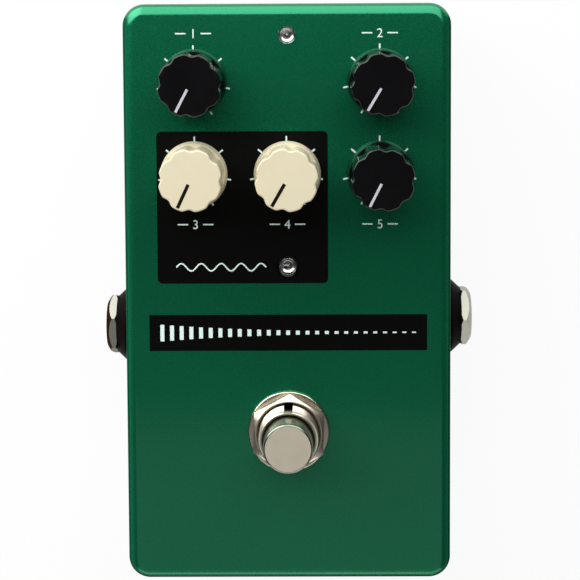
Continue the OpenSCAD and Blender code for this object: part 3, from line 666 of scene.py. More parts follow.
# The output nut: chrome tinted darker at its edges, with the painted dark reflection on its dome
DARK_DOME_CHROME = jack_plate("dark_dome_chrome", colour(0.45, 0.40, 0.36))
TIN = plain_metal("tinned_metal", colour(0.48, 0.48, 0.47), colour(0.70, 0.70, 0.69), 0.36)
LAMP_METAL = lamp_frame()
SPRING_WIRE = plain_metal("spring_wire", colour(0.40, 0.40, 0.40), colour(0.62, 0.62, 0.61), 0.28, 0.2)
SHAFT_METAL = plain_metal("turned_shaft", colour(0.55, 0.55, 0.54), colour(0.78, 0.78, 0.77), 0.30)
POT_METAL = plain_metal("pressed_can", colour(0.34, 0.36, 0.37), colour(0.54, 0.56, 0.57), 0.40)
BRASS = plain_metal("contact_strip", colour(0.55, 0.40, 0.16), colour(0.80, 0.62, 0.30), 0.30)
BLACK_STEEL = plain_metal("blackened_steel", colour(0.020, 0.020, 0.022), colour(0.060, 0.058, 0.060), 0.42)
BLACK_MOULDING = plain_moulding(
    "black_moulding", colour(0.0030, 0.0018, 0.0020), colour(0.0075, 0.0048, 0.0054), 0.45, specular=0.02)
BLUE_MOULDING = plain_moulding("blue_moulding", colour(0.010, 0.045, 0.22), colour(0.020, 0.080, 0.34), 0.40)
SLEEVE = plain_moulding("capacitor_sleeve", colour(0.010, 0.015, 0.060), colour(0.025, 0.035, 0.120), 0.30)
RIBBON = plain_moulding("ribbon_sheath", colour(0.32, 0.32, 0.31), colour(0.48, 0.48, 0.46), 0.45)
RUBBER = plain_moulding(
    "foot_rubber", colour(0.010, 0.010, 0.010), colour(0.024, 0.023, 0.022), 0.72, grain_size=0.2, depth=0.02)
BOARD = solder_mask()
RESIN = clear_resin()

SLOT_FINISH = {
    "green_paint": PAINT, "black_steel": BLACK_STEEL, "foot_rubber": RUBBER, "black_knob": BLACK_KNOB,
    "cream_knob": CREAM_KNOB, "white_line": WHITE_LINE, "black_line": BLACK_LINE, "nickel": NICKEL,
    "bright_chrome": CHROME, "tin": TIN, "spring_steel": SPRING_WIRE, "shaft_metal": SHAFT_METAL,
    "pot_metal": POT_METAL, "contact_brass": BRASS, "black_moulding": BLACK_MOULDING,
    "blue_moulding": BLUE_MOULDING, "board": BOARD, "capacitor_sleeve": SLEEVE, "grey_cable": RIBBON,
    "clear_lens": RESIN,
}
for subpart in frame["record"]["subparts"]:
    for place in frame["nodes"][subpart["node"]].material_slots:
        place.material = SLOT_FINISH[subpart["material_slot"]]

# Enclosure, in mm

CORNER_R = 4.4
CORNER_STEPS = 14
EDGE_R = 2.3
EDGE_STEPS = 12
RIM_ROUND = 0.3
WALL = 2.3
PANEL_T = 2.4
POST_R = 3.4
POST_INSET = 5.4
SCREW_HOLE_R = 1.53
SCREW_HOLE_L = 10
SCREW_CLEAR_R = 1.6
SCREW_CLEAR_L = 4
SCREW_SINK_R = 3.85
SCREW_HEAD_T = 1.25
DIAL_HOLE_R = 3.6
LAMP_HOLE_R = 1.65
# Countersinks round the lamps: how deep each is, how wide its cutter is on top and below, and the cutter's lead
LAMP_SINKS = {"status": (0.20, 1.83), "rate": (0.40, 2.35)}
LAMP_SINK_FOOT_R = 1.55
LAMP_SINK_LEAD = 0.05
SWITCH_HOLE_R = 6.1
JACK_HOLE_R = 4.6
JACK_HOLE_L = 5
INLET_HOLE_R = 4.6
INLET_HOLE_L = 4
FOOT_X = 18
FOOT_Y = 43.8
# How far a cutter reaches past a face, and in metres how near the shell's top or rim counts as on it
LEAD = 1
NEAR = 1e-5

POST_X = SHELL_HIGH.x - POST_INSET * MM
POST_Y = SHELL_HIGH.y - POST_INSET * MM
POSTS = [(x, y) for x in (-POST_X, POST_X) for y in (-POST_Y, POST_Y)]
RIM = SHELL_LOW.z / MM
TOP = SHELL_HIGH.z / MM
CEILING = TOP - PANEL_T


def faces_out(face):
    """True for an upright face on the outside."""
    return abs(face.normal.z) < 0.1 and face.normal.dot(face.calc_center_median()) > 0


def on_top(edge):
    """True for an edge in the panel's face."""
    return min(vertex.co.z for vertex in edge.verts) > SHELL_HIGH.z - NEAR


def on_outer_rim(edge):
    """True for an edge round the outside of the shell's open end."""
    low = max(vertex.co.z for vertex in edge.verts) < SHELL_LOW.z + NEAR
    return low and any(map(faces_out, edge.link_faces))


def wall_cutter(radius, reach, inwards, at, turn):
    """A cutter that reaches from a way inside a wall to a little outside it."""
    return settle(rod(radius, reach / MM - inwards, reach / MM + 2 * LEAD), at, turn)


def cast_shell():
    """The cast box: round corners, a rolled edge round the panel, open below, with screw posts and holes."""
    shell = block("cast_shell", SHELL_LOW / MM, SHELL_HIGH / MM)
    edit(shell)
    pick("EDGE", upright)
    round_picked(CORNER_R, CORNER_STEPS)
    pick("FACE", lambda face: face.normal.z < -0.9)
    bpy.ops.mesh.inset(thickness=WALL * MM)
    draw_out(0, 0, (CEILING - RIM) * MM)
    pick("EDGE", on_top)
    round_picked(EDGE_R, EDGE_STEPS)
    pick("EDGE", on_outer_rim)
    round_picked(RIM_ROUND, segments=3)
    leave()
    carve(shell, *[rod(POST_R, RIM, CEILING + PANEL_T / 2, at) for at in POSTS], operation="UNION")
    tools = [rod(SCREW_HOLE_R, RIM - LEAD, RIM + SCREW_HOLE_L, at, sides=32) for at in POSTS]
    through = [(DIAL_HOLE_R, DIAL_AT[dial]) for dial in DIALS] + [(LAMP_HOLE_R, at) for at in LAMPS.values()]
    tools += [rod(radius, CEILING - LEAD, TOP + LEAD, at) for radius, at in through]
    for lamp, (depth, wide) in LAMP_SINKS.items():
        tools.append(rod(LAMP_SINK_FOOT_R, TOP - depth, TOP + LAMP_SINK_LEAD, LAMPS[lamp], top_radius=wide))
    tools.append(rod(SWITCH_HOLE_R, CEILING - LEAD, TOP + LEAD, SWITCH))
    for side, jack in JACKS:
        at = middle(jack + "_jack_sleeve")
        turn = (0, radians(90 * side), 0)
        tools.append(wall_cutter(JACK_HOLE_R, SHELL_HIGH.x, JACK_HOLE_L, (0, at.y, at.z), turn))
    at = (0, 0, middle("power_inlet_case").z)
    tools.append(wall_cutter(INLET_HOLE_R, SHELL_HIGH.y, INLET_HOLE_L, at, (radians(-90), 0, 0)))
    carve(shell, *tools)
    return soften(shell, 0)


def base_plate():
    low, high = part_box("base_plate")
    plate = block("bottom_plate", low / MM, high / MM)
    edit(plate)
    pick("EDGE", upright)
    round_picked(CORNER_R, CORNER_STEPS)
    leave()
    bottom = low.z / MM
    carve(plate, *[rod(SCREW_CLEAR_R, bottom - LEAD, bottom + SCREW_CLEAR_L, at, sides=48) for at in POSTS])
    sink = (bottom - LEAD, bottom + SCREW_HEAD_T)
    carve(plate, *[rod(SCREW_SINK_R, *sink, at, sides=48, top_radius=SCREW_CLEAR_R) for at in POSTS])
    return soften(plate, 0.3)


def plate_screw():
    """A countersunk screw from its head's face up, in mm, with a cross recess."""
    section = [(0, 0), (2.55, 0), (2.65, 0.1), (1.5, SCREW_HEAD_T), (1.5, 9.6), (1.1, 10), (0, 10)]
    screw = turned("screw", section, steps=48)
    reach, half_w, depth = 1.6, 0.4, 0.9
    for x, y in ((reach, half_w), (half_w, reach)):
        carve(screw, block("slot", (-x, -y, -LEAD), (x, y, depth)))
    return soften(screw, 0.06, segments=2)


def rubber_foot():
    """A foot from its sole up, in mm, with a hollow in the sole."""
    section = [(0, 0.35), (2.4, 0.35), (2.9, 0), (4.1, 0), (4.8, 0.7), (5.5, 2.5), (0, 2.5)]
    return soften(turned("foot", section, steps=64), 0.25)


fit(cast_shell(), PAINT, stands_for=["enclosure_shell"])
fit(base_plate(), PAINT, stands_for=["base_plate"])
screws = repeated("plate_screws", plate_screw(), [(x, y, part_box("base_screws")[0].z) for x, y in POSTS])
fit(screws, BLACK_STEEL, stands_for=["base_screws"])
FEET = [(x * FOOT_X * MM, y * FOOT_Y * MM, 0) for x in (-1, 1) for y in (-1, 1)]
fit(repeated("sole_feet", rubber_foot(), FEET), RUBBER, stands_for=["rubber_feet"])

# Knobs, in mm from the panel

KNOB_GAP = 0.8
SKIRT_R = 6.75
SKIRT_TOP = 3.4
GRIP_R = 6.25
GRIP_TAPER = 0.992
KNOB_TOP = 13.85
KNOB_ROUND = 0.32
FLUTES = 8
FLUTE_HALF_W = 1.55
FLUTE_DEPTH = 0.5
# Hollows from below, as radius, height and sides: over the potentiometer's nut, its bushing and its shaft
KNOB_HOLLOWS = ((SKIRT_R - 0.65, 3.0, 96), (4.1, 3.5, 64), (3.03, 11.68, 64))
BLACK_LINE_W = 0.5
CREAM_LINE_W = 0.65
LINE_CLEAR = 0.03
LINE_FROM = 0.77
LINE_TO = 5.83
LINE_FLOOR = 13.5
OVER_KNOB = 15


def fluted_outline(steps=20):
    """Outline of a knob's grip, with a lobe towards +Y and soft flutes between the lobes."""
    points = []
    for k in range(FLUTES * steps):
        angle = 2 * pi * k / (FLUTES * steps)
        off = (angle * FLUTES / (2 * pi)) % 1 - 0.5
        along = off * 2 * pi / FLUTES * GRIP_R
        dip = cos(pi / 2 * along / FLUTE_HALF_W) ** 2 if abs(along) < FLUTE_HALF_W else 0
        radius = GRIP_R - FLUTE_DEPTH * dip
        points.append((-radius * sin(angle), radius * cos(angle)))
    return points


def fluted_knob(line_w):
    """A knob on its dial's axis, its pointer's groove towards +Y, for a line of a given width."""
    knob = sawn("knob", fluted_outline(), SKIRT_TOP - 0.5, KNOB_TOP)
    edit(knob)
    pick("FACE", lambda face: face.normal.z > 0.9)
    bpy.ops.transform.resize(value=(GRIP_TAPER, GRIP_TAPER, 1), center_override=(0, 0, 0))
    pick("EDGE", lambda edge: min(vertex.co.z for vertex in edge.verts) > (KNOB_TOP - 0.01) * MM)
    round_picked(KNOB_ROUND, segments=4)
    leave()
    skirt = [
        (0, KNOB_GAP), (SKIRT_R - 0.15, KNOB_GAP), (SKIRT_R, KNOB_GAP + 0.25), (SKIRT_R - 0.05, KNOB_GAP + 0.7),
        (SKIRT_R - 0.30, SKIRT_TOP - 0.35), (SKIRT_R - 0.50, SKIRT_TOP), (0, SKIRT_TOP),
    ]
    carve(knob, turned("skirt", skirt, steps=160), operation="UNION")
    carve(knob, *[rod(radius, 0, height, sides=sides) for radius, height, sides in KNOB_HOLLOWS])
    half_w = line_w / 2 + LINE_CLEAR
    carve(knob, block("groove", (-half_w, LINE_FROM, LINE_FLOOR), (half_w, LINE_TO, OVER_KNOB)))
    return soften(knob, 0, angle=32)


black_pattern, cream_pattern = fluted_knob(BLACK_LINE_W), fluted_knob(CREAM_LINE_W)
for dial in DIALS:
    pattern, finish, slot = black_pattern, BLACK_KNOB, "black_knob"
    if dial in CREAM_DIALS:
        pattern, finish, slot = cream_pattern, CREAM_KNOB, "cream_knob"
    knob = copied(pattern, dial + "_fluted_knob")
    settle(knob, (DIAL_AT[dial].x, DIAL_AT[dial].y, PANEL_Z), (0, 0, radians(-DIAL_TURN[dial])))
    fit(knob, finish, dial + "_dial", [dial + "_knob"])
bpy.data.objects.remove(black_pattern)
bpy.data.objects.remove(cream_pattern)

# Foot switch, in mm from the panel

WASHER_T = 0.9
WASHER_R = 8.25
WASHER_BORE_R = 6.1
SWITCH_NUT_T = 2.5
SWITCH_NUT_W = 14.2
SWITCH_NUT_TURN = -2
SWITCH_NUT_BORE_R = 6.03
BUSHING_R = 6.0
BUSHING_BORE_R = 5.0
BUSHING_TOP = 9.0
THREAD_ROOT_R = 5.56
THREAD_PITCH = 0.75
THREAD_START = 3.3
THREADS = 7
KEYWAY_HALF_W = 0.85
KEYWAY_FLOOR = 5.5
OUTSIDE_BUSHING = 8
OVER_BUSHING = 12
PLUNGER_R = 4.95
PLUNGER_ROUND = 0.5
PLUNGER_STOP_R = 5.65
PLUNGER_STOP_T = 1.2
SPRING_WIRE_R = 0.35
SPRING_TURNS = 6
SPRING_SIDES = 16


def hexagon(name, across, low, high, turn=0):
    """An upright six-sided bar with a corner towards +Y."""
    bar = rod(across / 2 / cos(radians(30)), low, high, sides=6)
    bar.name = name
    return settle(bar, turn=(0, 0, radians(turn)))


def switch_washer():
    section = [(WASHER_BORE_R, 0), (WASHER_R, 0), (WASHER_R, WASHER_T), (WASHER_BORE_R, WASHER_T)]
    washer = soften(ring("dress_washer", section, steps=128), 0.28, segments=4)
    return settle(washer, (SWITCH.x, SWITCH.y, PANEL_Z))


def switch_nut():
    """The outer nut, its corners turned off at both ends, its bore opened at the top."""
    nut = hexagon("switch_hex_nut", SWITCH_NUT_W, 0, SWITCH_NUT_T, SWITCH_NUT_TURN)
    crown = [(0, -0.1), (7.2, -0.1), (8.35, 0.5)]
    crown += [(8.35, SWITCH_NUT_T - 0.9), (6.75, SWITCH_NUT_T), (0, SWITCH_NUT_T)]
    carve(nut, turned("crown", crown), operation="INTERSECT")
    bore = [(0, -LEAD), (SWITCH_NUT_BORE_R, -LEAD), (SWITCH_NUT_BORE_R, 1.4), (6.6, 2.6), (0, 2.6)]
    carve(nut, turned("bore", bore))
    soften(nut, 0.08, segments=2, angle=20)
    return settle(nut, (SWITCH.x, SWITCH.y, PANEL_Z + WASHER_T * MM))


def switch_bushing():
    """The threaded bushing, with its keyway towards +Y."""
    low = (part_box("footswitch_bushing")[0].z - PANEL_Z) / MM
    section = [(BUSHING_BORE_R, low), (BUSHING_R, low)]
    for k in range(THREADS):
        z = THREAD_START + k * THREAD_PITCH
        section += [(BUSHING_R, z), (BUSHING_R, z + 0.10), (THREAD_ROOT_R, z + 0.36), (THREAD_ROOT_R, z + 0.49)]
    section += [(BUSHING_R, 8.55), (5.6, BUSHING_TOP), (5.35, BUSHING_TOP), (BUSHING_BORE_R, 8.4)]
    bushing = ring("threaded_bushing", section)
    low, high = (-KEYWAY_HALF_W, KEYWAY_FLOOR, 0), (KEYWAY_HALF_W, OUTSIDE_BUSHING, OVER_BUSHING)
    carve(bushing, block("keyway", low, high))
    soften(bushing, 0.04, segments=2, angle=25)
    return settle(bushing, (SWITCH.x, SWITCH.y, PANEL_Z))


def switch_plunger():
    low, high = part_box("footswitch_plunger")
    bottom, top = (low.z - PANEL_Z) / MM, (high.z - PANEL_Z) / MM
    stop = bottom + PLUNGER_STOP_T
    section = [(0, bottom), (PLUNGER_STOP_R, bottom), (PLUNGER_STOP_R, stop), (PLUNGER_R, stop)]
    section += arc((PLUNGER_R - PLUNGER_ROUND, top - PLUNGER_ROUND), PLUNGER_ROUND, 0, 90, count=8) + [(0, top)]
    plunger = turned("plunger_cap", section, steps=128)
    return settle(soften(plunger, 0), (SWITCH.x, SWITCH.y, PANEL_Z))


def return_spring():
    """The return spring: a ring of wire wound up by a screw."""
    low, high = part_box("footswitch_spring")
    coil_r = (high.x - low.x) / 2 / MM - SPRING_WIRE_R
    rise = (high.z - low.z) / MM - 2 * SPRING_WIRE_R
    wire = [(coil_r + SPRING_WIRE_R * x, 0, SPRING_WIRE_R * z) for x, z in circle(SPRING_SIDES)]
    spring = chain("coil_spring", wire)
    bpy.ops.mesh.edge_face_add()
    bpy.ops.mesh.delete(type="ONLY_FACE")
    leave()
    change(spring, "SCREW", axis="Z", angle=2 * pi, screw_offset=rise / SPRING_TURNS * MM,
           iterations=SPRING_TURNS, steps=40, render_steps=40, use_merge_vertices=False)
    edit(spring)
    pick("EDGE", lambda edge: edge.is_boundary)
    bpy.ops.mesh.fill_holes(sides=0)
    face_outwards()
    return settle(soften(spring, 0), (SWITCH.x, SWITCH.y, low.z + SPRING_WIRE_R * MM))


fit(switch_washer(), NICKEL, stands_for=["footswitch_washer"])
fit(switch_nut(), SATIN_NICKEL, stands_for=["footswitch_nut"])
fit(switch_bushing(), SATIN_NICKEL, stands_for=["footswitch_bushing"])
fit(switch_plunger(), NICKEL, "switch_button", ["footswitch_plunger"])
spring = fit(return_spring(), SPRING_WIRE, stands_for=["footswitch_spring"])
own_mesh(spring)

# Jacks, in mm outwards from the wall

JACK_CLEAR_R = 4.53
JACK_WASHER_R = 7.7
JACK_NUT_SEAT_R = 6.0
JACK_NUT_W = 11.3
# Where the dome starts and ends, in degrees from the wall
DOME_ARC = (48.06, 62.39)
JACK_BORE_R = 3.25
SLEEVE_R = 4.5
SLEEVE_TAIL_R = 4.22
SLEEVE_TAIL_L = 3
# How far each nut was turned when it was tightened, in degrees, and its plate
JACK_NUTS = {"input": (0, CHROME), "output": (19, DARK_DOME_CHROME)}


def jack_washer():
    section = [
        (JACK_CLEAR_R, 0), (JACK_WASHER_R, 0), (JACK_WASHER_R, 1.1), (JACK_NUT_SEAT_R, 2.9),
        (JACK_NUT_SEAT_R, JACK_WASHER_T), (JACK_CLEAR_R, JACK_WASHER_T),
    ]
    return soften(ring("washer", section), 0.18)


def jack_nut():
    """A nut whose outer end is turned to a shallow dome."""
    nut = hexagon("nut", JACK_NUT_W, 0, JACK_NUT_T)
    dome = [(0, -0.1), (5.85, -0.1), (6.5, 0.3), (6.75, 0.45)]
    dome += arc((0, -DOME_DEPTH), DOME_R, *DOME_ARC, count=8) + [(0, JACK_NUT_T)]
    carve(nut, turned("dome", dome), operation="INTERSECT")
    carve(nut, rod(JACK_CLEAR_R, -LEAD, 4 * LEAD))
    return soften(nut, 0.08, segments=2, angle=20)


def jack_sleeve():
    """The sleeve from the case to its rounded mouth."""
    low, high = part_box("input_jack_sleeve")
    start, end = (low.x - SHELL_HIGH.x) / MM, (high.x - SHELL_HIGH.x) / MM
    seat = start + SLEEVE_TAIL_L
    section = [
        (JACK_BORE_R, start), (SLEEVE_TAIL_R, start), (SLEEVE_TAIL_R, seat), (SLEEVE_R, seat),
        (SLEEVE_R, end - 0.3), (4.2, end), (3.75, end), (JACK_BORE_R, end - 0.5),
    ]
    return soften(ring("sleeve", section), 0.08, segments=2)


patterns = {"flared_washer": jack_washer(), "dome_nut": jack_nut(), "bored_sleeve": jack_sleeve()}
for side, jack in JACKS:
    nut_turn, plate = JACK_NUTS[jack]
    axis = middle(jack + "_jack_sleeve")
    wall = Vector((side * SHELL_HIGH.x, axis.y, axis.z))
    out = Vector((side, 0, 0))
    for kind, finish, slot, node, stand, turn in (
        ("flared_washer", BLACK_MOULDING, "black_moulding", "_jack_washer", 0, 0),
        ("dome_nut", plate, "bright_chrome", "_jack_nut", JACK_WASHER_T * MM, nut_turn),
        ("bored_sleeve", CHROME, "bright_chrome", "_jack_sleeve", 0, 0),
    ):
        up = Vector((0, sin(radians(turn)), cos(radians(turn))))
        piece = lay(copied(patterns[kind], jack + "_" + kind), wall + out * stand, up.cross(out), up, out)
        fit(piece, finish, stands_for=[jack + node])
for pattern in patterns.values():
    bpy.data.objects.remove(pattern)

# Power inlet, in mm outwards from the wall's inner side

COLLAR_L = 2.05
COLLAR_R = 4.45
INLET_BORE_R = 3.15
INLET_BORE_L = 10
PIN_HOLE_R = 1.08
PIN_HOLE = (-20, -5)


def power_inlet():
    """The inlet's case and round collar."""
    low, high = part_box("power_inlet_case")
    half_w = (high.x - low.x) / 2 / MM
    half_h = (high.z - low.z) / 2 / MM
    case = block("inlet_case", (-half_w, -half_h, COLLAR_L - (high.y - low.y) / MM), (half_w, half_h, 0))
    carve(case, rod(COLLAR_R, -0.5, COLLAR_L), operation="UNION")
    carve(case, rod(INLET_BORE_R, -INLET_BORE_L, COLLAR_L + LEAD), rod(PIN_HOLE_R, *PIN_HOLE, sides=32))
    soften(case, 0.25)
    at = (0, high.y - COLLAR_L * MM, middle("power_inlet_case").z)
    return lay(case, at, (1, 0, 0), (0, 0, -1), (0, 1, 0))


fit(power_inlet(), BLACK_MOULDING, stands_for=["power_inlet_case"])

# Flat cable between the boards, in mm

CONDUCTORS = 10
CONDUCTOR_SIDES = 12
CABLE_T = 0.9
CABLE_BEND_R = 2.5
CABLE_BEND_STEPS = 8


def ribbon_cable():
    """Bonded conductors that drop from the main board and bend towards the foot switch's board."""
    low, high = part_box("ribbon_cable")
    pitch = (high.x - low.x) / MM / CONDUCTORS
    first_x, drop_y, start_z = low.x / MM + pitch / 2, high.y / MM - CABLE_T / 2, high.z / MM
    outline = [(first_x + pitch / 2 * x, drop_y + CABLE_T / 2 * y, start_z) for x, y in circle(CONDUCTOR_SIDES)]
    cable = chain("flat_cable", outline)
    bpy.ops.mesh.edge_face_add()
    turn_y, turn_z = high.y - CABLE_BEND_R * MM, low.z + CABLE_BEND_R * MM
    draw_out(0, 0, turn_z - high.z)
    bpy.ops.mesh.spin(steps=CABLE_BEND_STEPS, angle=pi / 2, center=(0, turn_y, turn_z), axis=(-1, 0, 0))
    draw_out(0, low.y - turn_y, 0)
    weld(SEAM)
    face_outwards()
    change(cable, "ARRAY", count=CONDUCTORS, use_relative_offset=False, use_constant_offset=True,
           constant_offset_displace=(pitch * MM, 0, 0))
    return soften(cable, 0)


fit(ribbon_cable(), RIBBON, stands_for=["ribbon_cable"])

# Lamps, in mm from the lens's flange up

FLANGE_R = 1.9
FLANGE_T = 1.0
LENS_R = 1.5
LENS_DOME_Z = 3.8
CORE_TURN = 30


def lamp_lens():
    """A clear dome lamp."""
    section = [(0, 0), (FLANGE_R, 0), (FLANGE_R, FLANGE_T), (LENS_R, FLANGE_T)]
    section += arc((0, LENS_DOME_Z), LENS_R, 0, 90, count=16)
    return soften(turned("lens", section, steps=64), 0, angle=40)


def lamp_core():
    """The frame inside a lamp: a plate with the cup on it, the second post, and the die in the cup."""
    plate = soften(block("plate", (-1.0, -0.28, 0.3), (0.35, 0.28, 1.9)), 0.08, segments=2)
    post = soften(block("post", (0.78, -0.28, 0.3), (1.2, 0.28, 2.6)), 0.08, segments=2)
    die = soften(block("die", (-0.1, -0.1, 2.9), (0.1, 0.1, 3.04)), 0.02, segments=2)
    outside = [(0, 1.8), (0.4, 1.8), (0.66, 2.95), (0.62, 3.06)]
    inside = [(0.42, 2.98), (0.26, 2.98), (0.19, 2.91), (0, 2.91)]
    cup = soften(turned("cup", outside + inside, steps=40), 0)
    return joined("core", [plate, post, cup, die])


lens_pattern, core_pattern = lamp_lens(), lamp_core()
for lamp, at in LAMPS.items():
    base = (at.x, at.y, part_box(lamp + "_led")[0].z)
    fit(settle(copied(lens_pattern, lamp + "_lens"), base), RESIN, stands_for=[lamp + "_led"])
    fit(settle(copied(core_pattern, lamp + "_lamp_core"), base, (0, 0, radians(CORE_TURN))), LAMP_METAL)
bpy.data.objects.remove(lens_pattern)
bpy.data.objects.remove(core_pattern)

# Printing on the panel: thin films of ink, in mm; white lies on black, with its middle at a height in metres

INK = 0.02
SECOND_INK_Z = PANEL_Z + 1.5 * INK * MM
FIELD = ((-26.3, 2.5), (8.12, 33.3))
FIELD_CORNER = 1.0
FIELD_HOLE_R = 5.6
STRIP = ((-28.1, -11.28), (28.1, -3.9))
TICKS = [-150 + 50 * k for k in range(7)]
TICK_HALF_W = 0.17
TICK_FROM = 6.2
TICK_TO = 7.44
# The printing is a little out of line with the dials' holes
TICK_SHIFT = {
    "time": (0, 0.05), "regen": (-0.19, 0.18),
    "depth": (0.1, 0.16), "speed": (-0.18, 0.22), "level": (-0.22, 0.24),
}
LABELS = ((-18.7, 52.9), (18.6, 52.9), (-18.55, 14.5), (-0.05, 14.5), (18.6, 14.5))
LABEL_H = 1.8
# Rules beside a number: from and to, sideways from its middle, and half their height
RULE = (1.5, 3.6)
RULE_HALF_H = 0.14
WAVE = (-22.5, -4.4)
WAVE_Y = 5.8
WAVE_H = 0.75
WAVES = 4.5
WAVE_STEPS = 120
WAVE_LINE_W = 0.30
BARS = 27
BAR_X = -25.5
BAR_Y = -7.6
BAR_PITCH = 1.96
BAR_HALF_W = 0.4
BAR_HALF_H = 1.7
# Bars over which the height falls to about a third
BAR_DECAY = 10


def film(name, low, high, corner=0, layer=0):
    """A flat patch of ink between two corners."""
    base = TOP + layer * INK
    patch = block(name, (low[0], low[1], base), (high[0], high[1], base + INK))
    if corner:
        edit(patch)
        pick("EDGE", upright)
        round_picked(corner, segments=6)
        leave()
    return patch


def black_field():
    """The black field round the cream dials, open round the lamp and under the dials' washers."""
    field = film("black_field", *FIELD, FIELD_CORNER)
    tools = [rod(FIELD_HOLE_R, TOP - LEAD, TOP + LEAD, DIAL_AT[dial]) for dial in CREAM_DIALS]
    return carve(field, *tools, rod(RATE_SINK_R, TOP - LEAD, TOP + LEAD, LAMPS["rate"]))


def dial_ticks():
    """Marks round each dial."""
    made = []
    for dial in DIALS:
        centre = DIAL_AT[dial] + Vector((*TICK_SHIFT[dial], 0)) * MM
        for angle in TICKS:
            tick = block("tick", (-TICK_HALF_W, TICK_FROM, 0), (TICK_HALF_W, TICK_TO, INK))
            made.append(settle(tick, (centre.x, centre.y, PANEL_Z + INK * MM), (0, 0, radians(-angle))))
    return joined("dial_ticks", made)


def numeral(text, x, y):
    """A number, as high as the labels, with its middle at a place."""
    bpy.ops.object.text_add()
    mark = bpy.context.object
    mark.data.body = text
    mark.data.extrude = 0.01
    bpy.ops.object.convert(target="MESH")
    mark = bpy.context.object
    edit(mark)
    weld(1e-5)
    leave()
    low, high = span(mark)
    size = LABEL_H * MM / (high.y - low.y)
    mark.scale = (size, size, INK * MM / (high.z - low.z))
    settle(mark)
    low, high = span(mark)
    return settle(mark, Vector((x * MM, y * MM, SECOND_INK_Z)) - (low + high) / 2)


def dial_labels():
    """A plain number at each dial, between two short rules."""
    made = []
    for k, (x, y) in enumerate(LABELS):
        made.append(numeral(str(k + 1), x, y))
        for side in (-1, 1):
            ends = sorted(x + side * end for end in RULE)
            made.append(film("rule", (ends[0], y - RULE_HALF_H), (ends[1], y + RULE_HALF_H), layer=1))
    return joined("dial_labels", made)


def wave_mark():
    """A plain wave beside the rate lamp."""
    bpy.ops.curve.primitive_nurbs_path_add()
    line = bpy.context.object.data
    line.splines.clear()
    path = line.splines.new("POLY")
    path.points.add(WAVE_STEPS)
    for k, point in enumerate(path.points):
        share = k / WAVE_STEPS
        x = WAVE[0] + (WAVE[1] - WAVE[0]) * share
        y = WAVE_Y + WAVE_H * sin(2 * pi * WAVES * share)
        point.co = (x * MM, y * MM, 0, 1)
    line.bevel_depth = WAVE_LINE_W / 2 * MM
    line.bevel_resolution = 2
    line.use_fill_caps = True
    bpy.ops.object.convert(target="MESH")
    mark = bpy.context.object
    mark.name = "wave_mark"
    mark.scale = (1, 1, INK / WAVE_LINE_W)
    return settle(mark, (0, 0, SECOND_INK_Z))


def echo_bars():
    """Bars that die away along the black strip, each lower than the last."""
    made = []
    for k in range(BARS):
        x = BAR_X + BAR_PITCH * k
        half = BAR_HALF_H * exp(-k / BAR_DECAY)
        made.append(film("bar", (x - BAR_HALF_W, BAR_Y - half), (x + BAR_HALF_W, BAR_Y + half), layer=1))
    return joined("echo_bars", made)


fit(black_field(), BLACK_INK)
fit(film("black_strip", *STRIP), BLACK_INK)
for mark in (dial_ticks(), dial_labels(), wave_mark(), echo_bars()):
    fit(mark, WHITE_INK)

# Stage: a pale floor, soft lights and the camera, in metres

FLOOR_W = 12
FLOOR_GLOW = 0.92
# Softboxes: where the middle is sideways, the upper and lower edge as Y and Z, the width, and the glow
BACK_EDGES = ((0.155, 0.52), (0.45, 0.0))
SOFTBOXES = {
    "back_left_softbox": (-0.45, *BACK_EDGES, 0.70, 4.2),
    "back_right_softbox": (0.10, *BACK_EDGES, 0.40, 2.4),
    "front_ceiling": (0.0, (-0.188, 0.75), (-0.35, 0.75), 0.80, 0.31),
    "front_wall": (0.0, (-0.36, 0.75), (-0.58, 0.34), 0.80, 0.34),
    "front_low_softbox": (0.0, (-0.59, 0.33), (-0.64, 0.08), 0.90, 1.8),
}
# Camera: the picture's width, the focal length and the frame's slide in pixels, its place and three directions
PICTURE_W = 580
FOCAL_LENGTH = 1860.56
FRAME_SLIDE = -125.49
SENSOR_W = 36
EYE = Vector((4.318 * MM, 59.361 * MM, 410.73 * MM))
EYE_AXES = (
    (0.99993933, -0.00521577, -0.00970238),
    (0.00434403, 0.99612915, -0.08779436),
    (0.01012274, 0.08774688, 0.99609137),
)


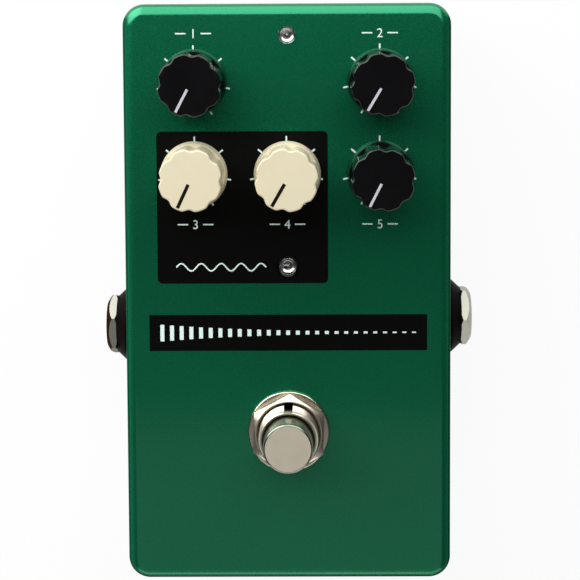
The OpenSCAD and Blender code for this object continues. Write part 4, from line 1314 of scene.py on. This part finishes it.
def floor():
    """A matt floor that takes the pedal's shadow, and looks nearly white, mirrored or through a lens too."""
    bpy.ops.mesh.primitive_plane_add(size=FLOOR_W)
    ground = bpy.context.object
    ground.name = "floor"
    f = Finish("pale_floor")
    grain = f.noise(40)
    pale = f.blend(grain, colour(0.86, 0.86, 0.86), colour(0.90, 0.90, 0.90))
    rays = ("Is Camera Ray", "Is Glossy Ray", "Is Transmission Ray")
    seen, mirrored, through = [f.node("ShaderNodeLightPath", out=ray) for ray in rays]
    matt = f.node("ShaderNodeBsdfDiffuse", sockets={"Color": pale})
    glow = f.node("ShaderNodeEmission", sockets={"Color": colour(1, 1, 1), "Strength": 1.0})
    share = FLOOR_GLOW * (seen + mirrored + through)
    mixed = f.node("ShaderNodeMixShader", sockets={0: share, 1: matt, 2: glow})
    f.node("ShaderNodeOutputMaterial", sockets={"Surface": mixed})
    ground.data.materials.append(f.material)


def softbox(name, x, upper, lower, width, glow):
    """A soft lamp between two level edges, facing the pedal, as bright as a given glow."""
    upper, lower = Vector((x, *upper)), Vector((x, *lower))
    centre = (upper + lower) / 2
    rise = (upper - lower).normalized()
    facing = Vector((1, 0, 0)).cross(rise)
    if facing.dot(centre) > 0:
        facing = -facing
    data = bpy.data.lights.new(name, "AREA")
    data.shape = "RECTANGLE"
    data.size, data.size_y = width, (upper - lower).length
    data.energy = glow * pi * data.size * data.size_y
    lamp = bpy.data.objects.new(name, data)
    bpy.context.scene.collection.objects.link(lamp)
    lamp.matrix_world = Matrix.Translation(centre) @ axes(rise.cross(-facing), rise, -facing)
    lamp.visible_camera = False


def studio():
    """A dim room with its softboxes."""
    world = bpy.data.worlds.new("studio")
    world.use_nodes = True
    world.node_tree.nodes["Background"].inputs["Color"].default_value = colour(0.03, 0.03, 0.03)
    bpy.context.scene.world = world
    for name, settings in SOFTBOXES.items():
        softbox(name, *settings)


def camera():
    """Nearly straight down, from over the power end, with the frame slid towards the foot end."""
    data = bpy.data.cameras.new("camera")
    data.sensor_width = SENSOR_W
    data.lens = SENSOR_W * FOCAL_LENGTH / PICTURE_W
    data.shift_y = FRAME_SLIDE / PICTURE_W
    data.clip_start = 0.01
    eye = bpy.data.objects.new("camera", data)
    bpy.context.scene.collection.objects.link(eye)
    eye.matrix_world = Matrix.Translation(EYE) @ axes(*EYE_AXES)
    bpy.context.scene.camera = eye


floor()
studio()
camera()
bpy.context.scene.view_settings.view_transform = "Standard"
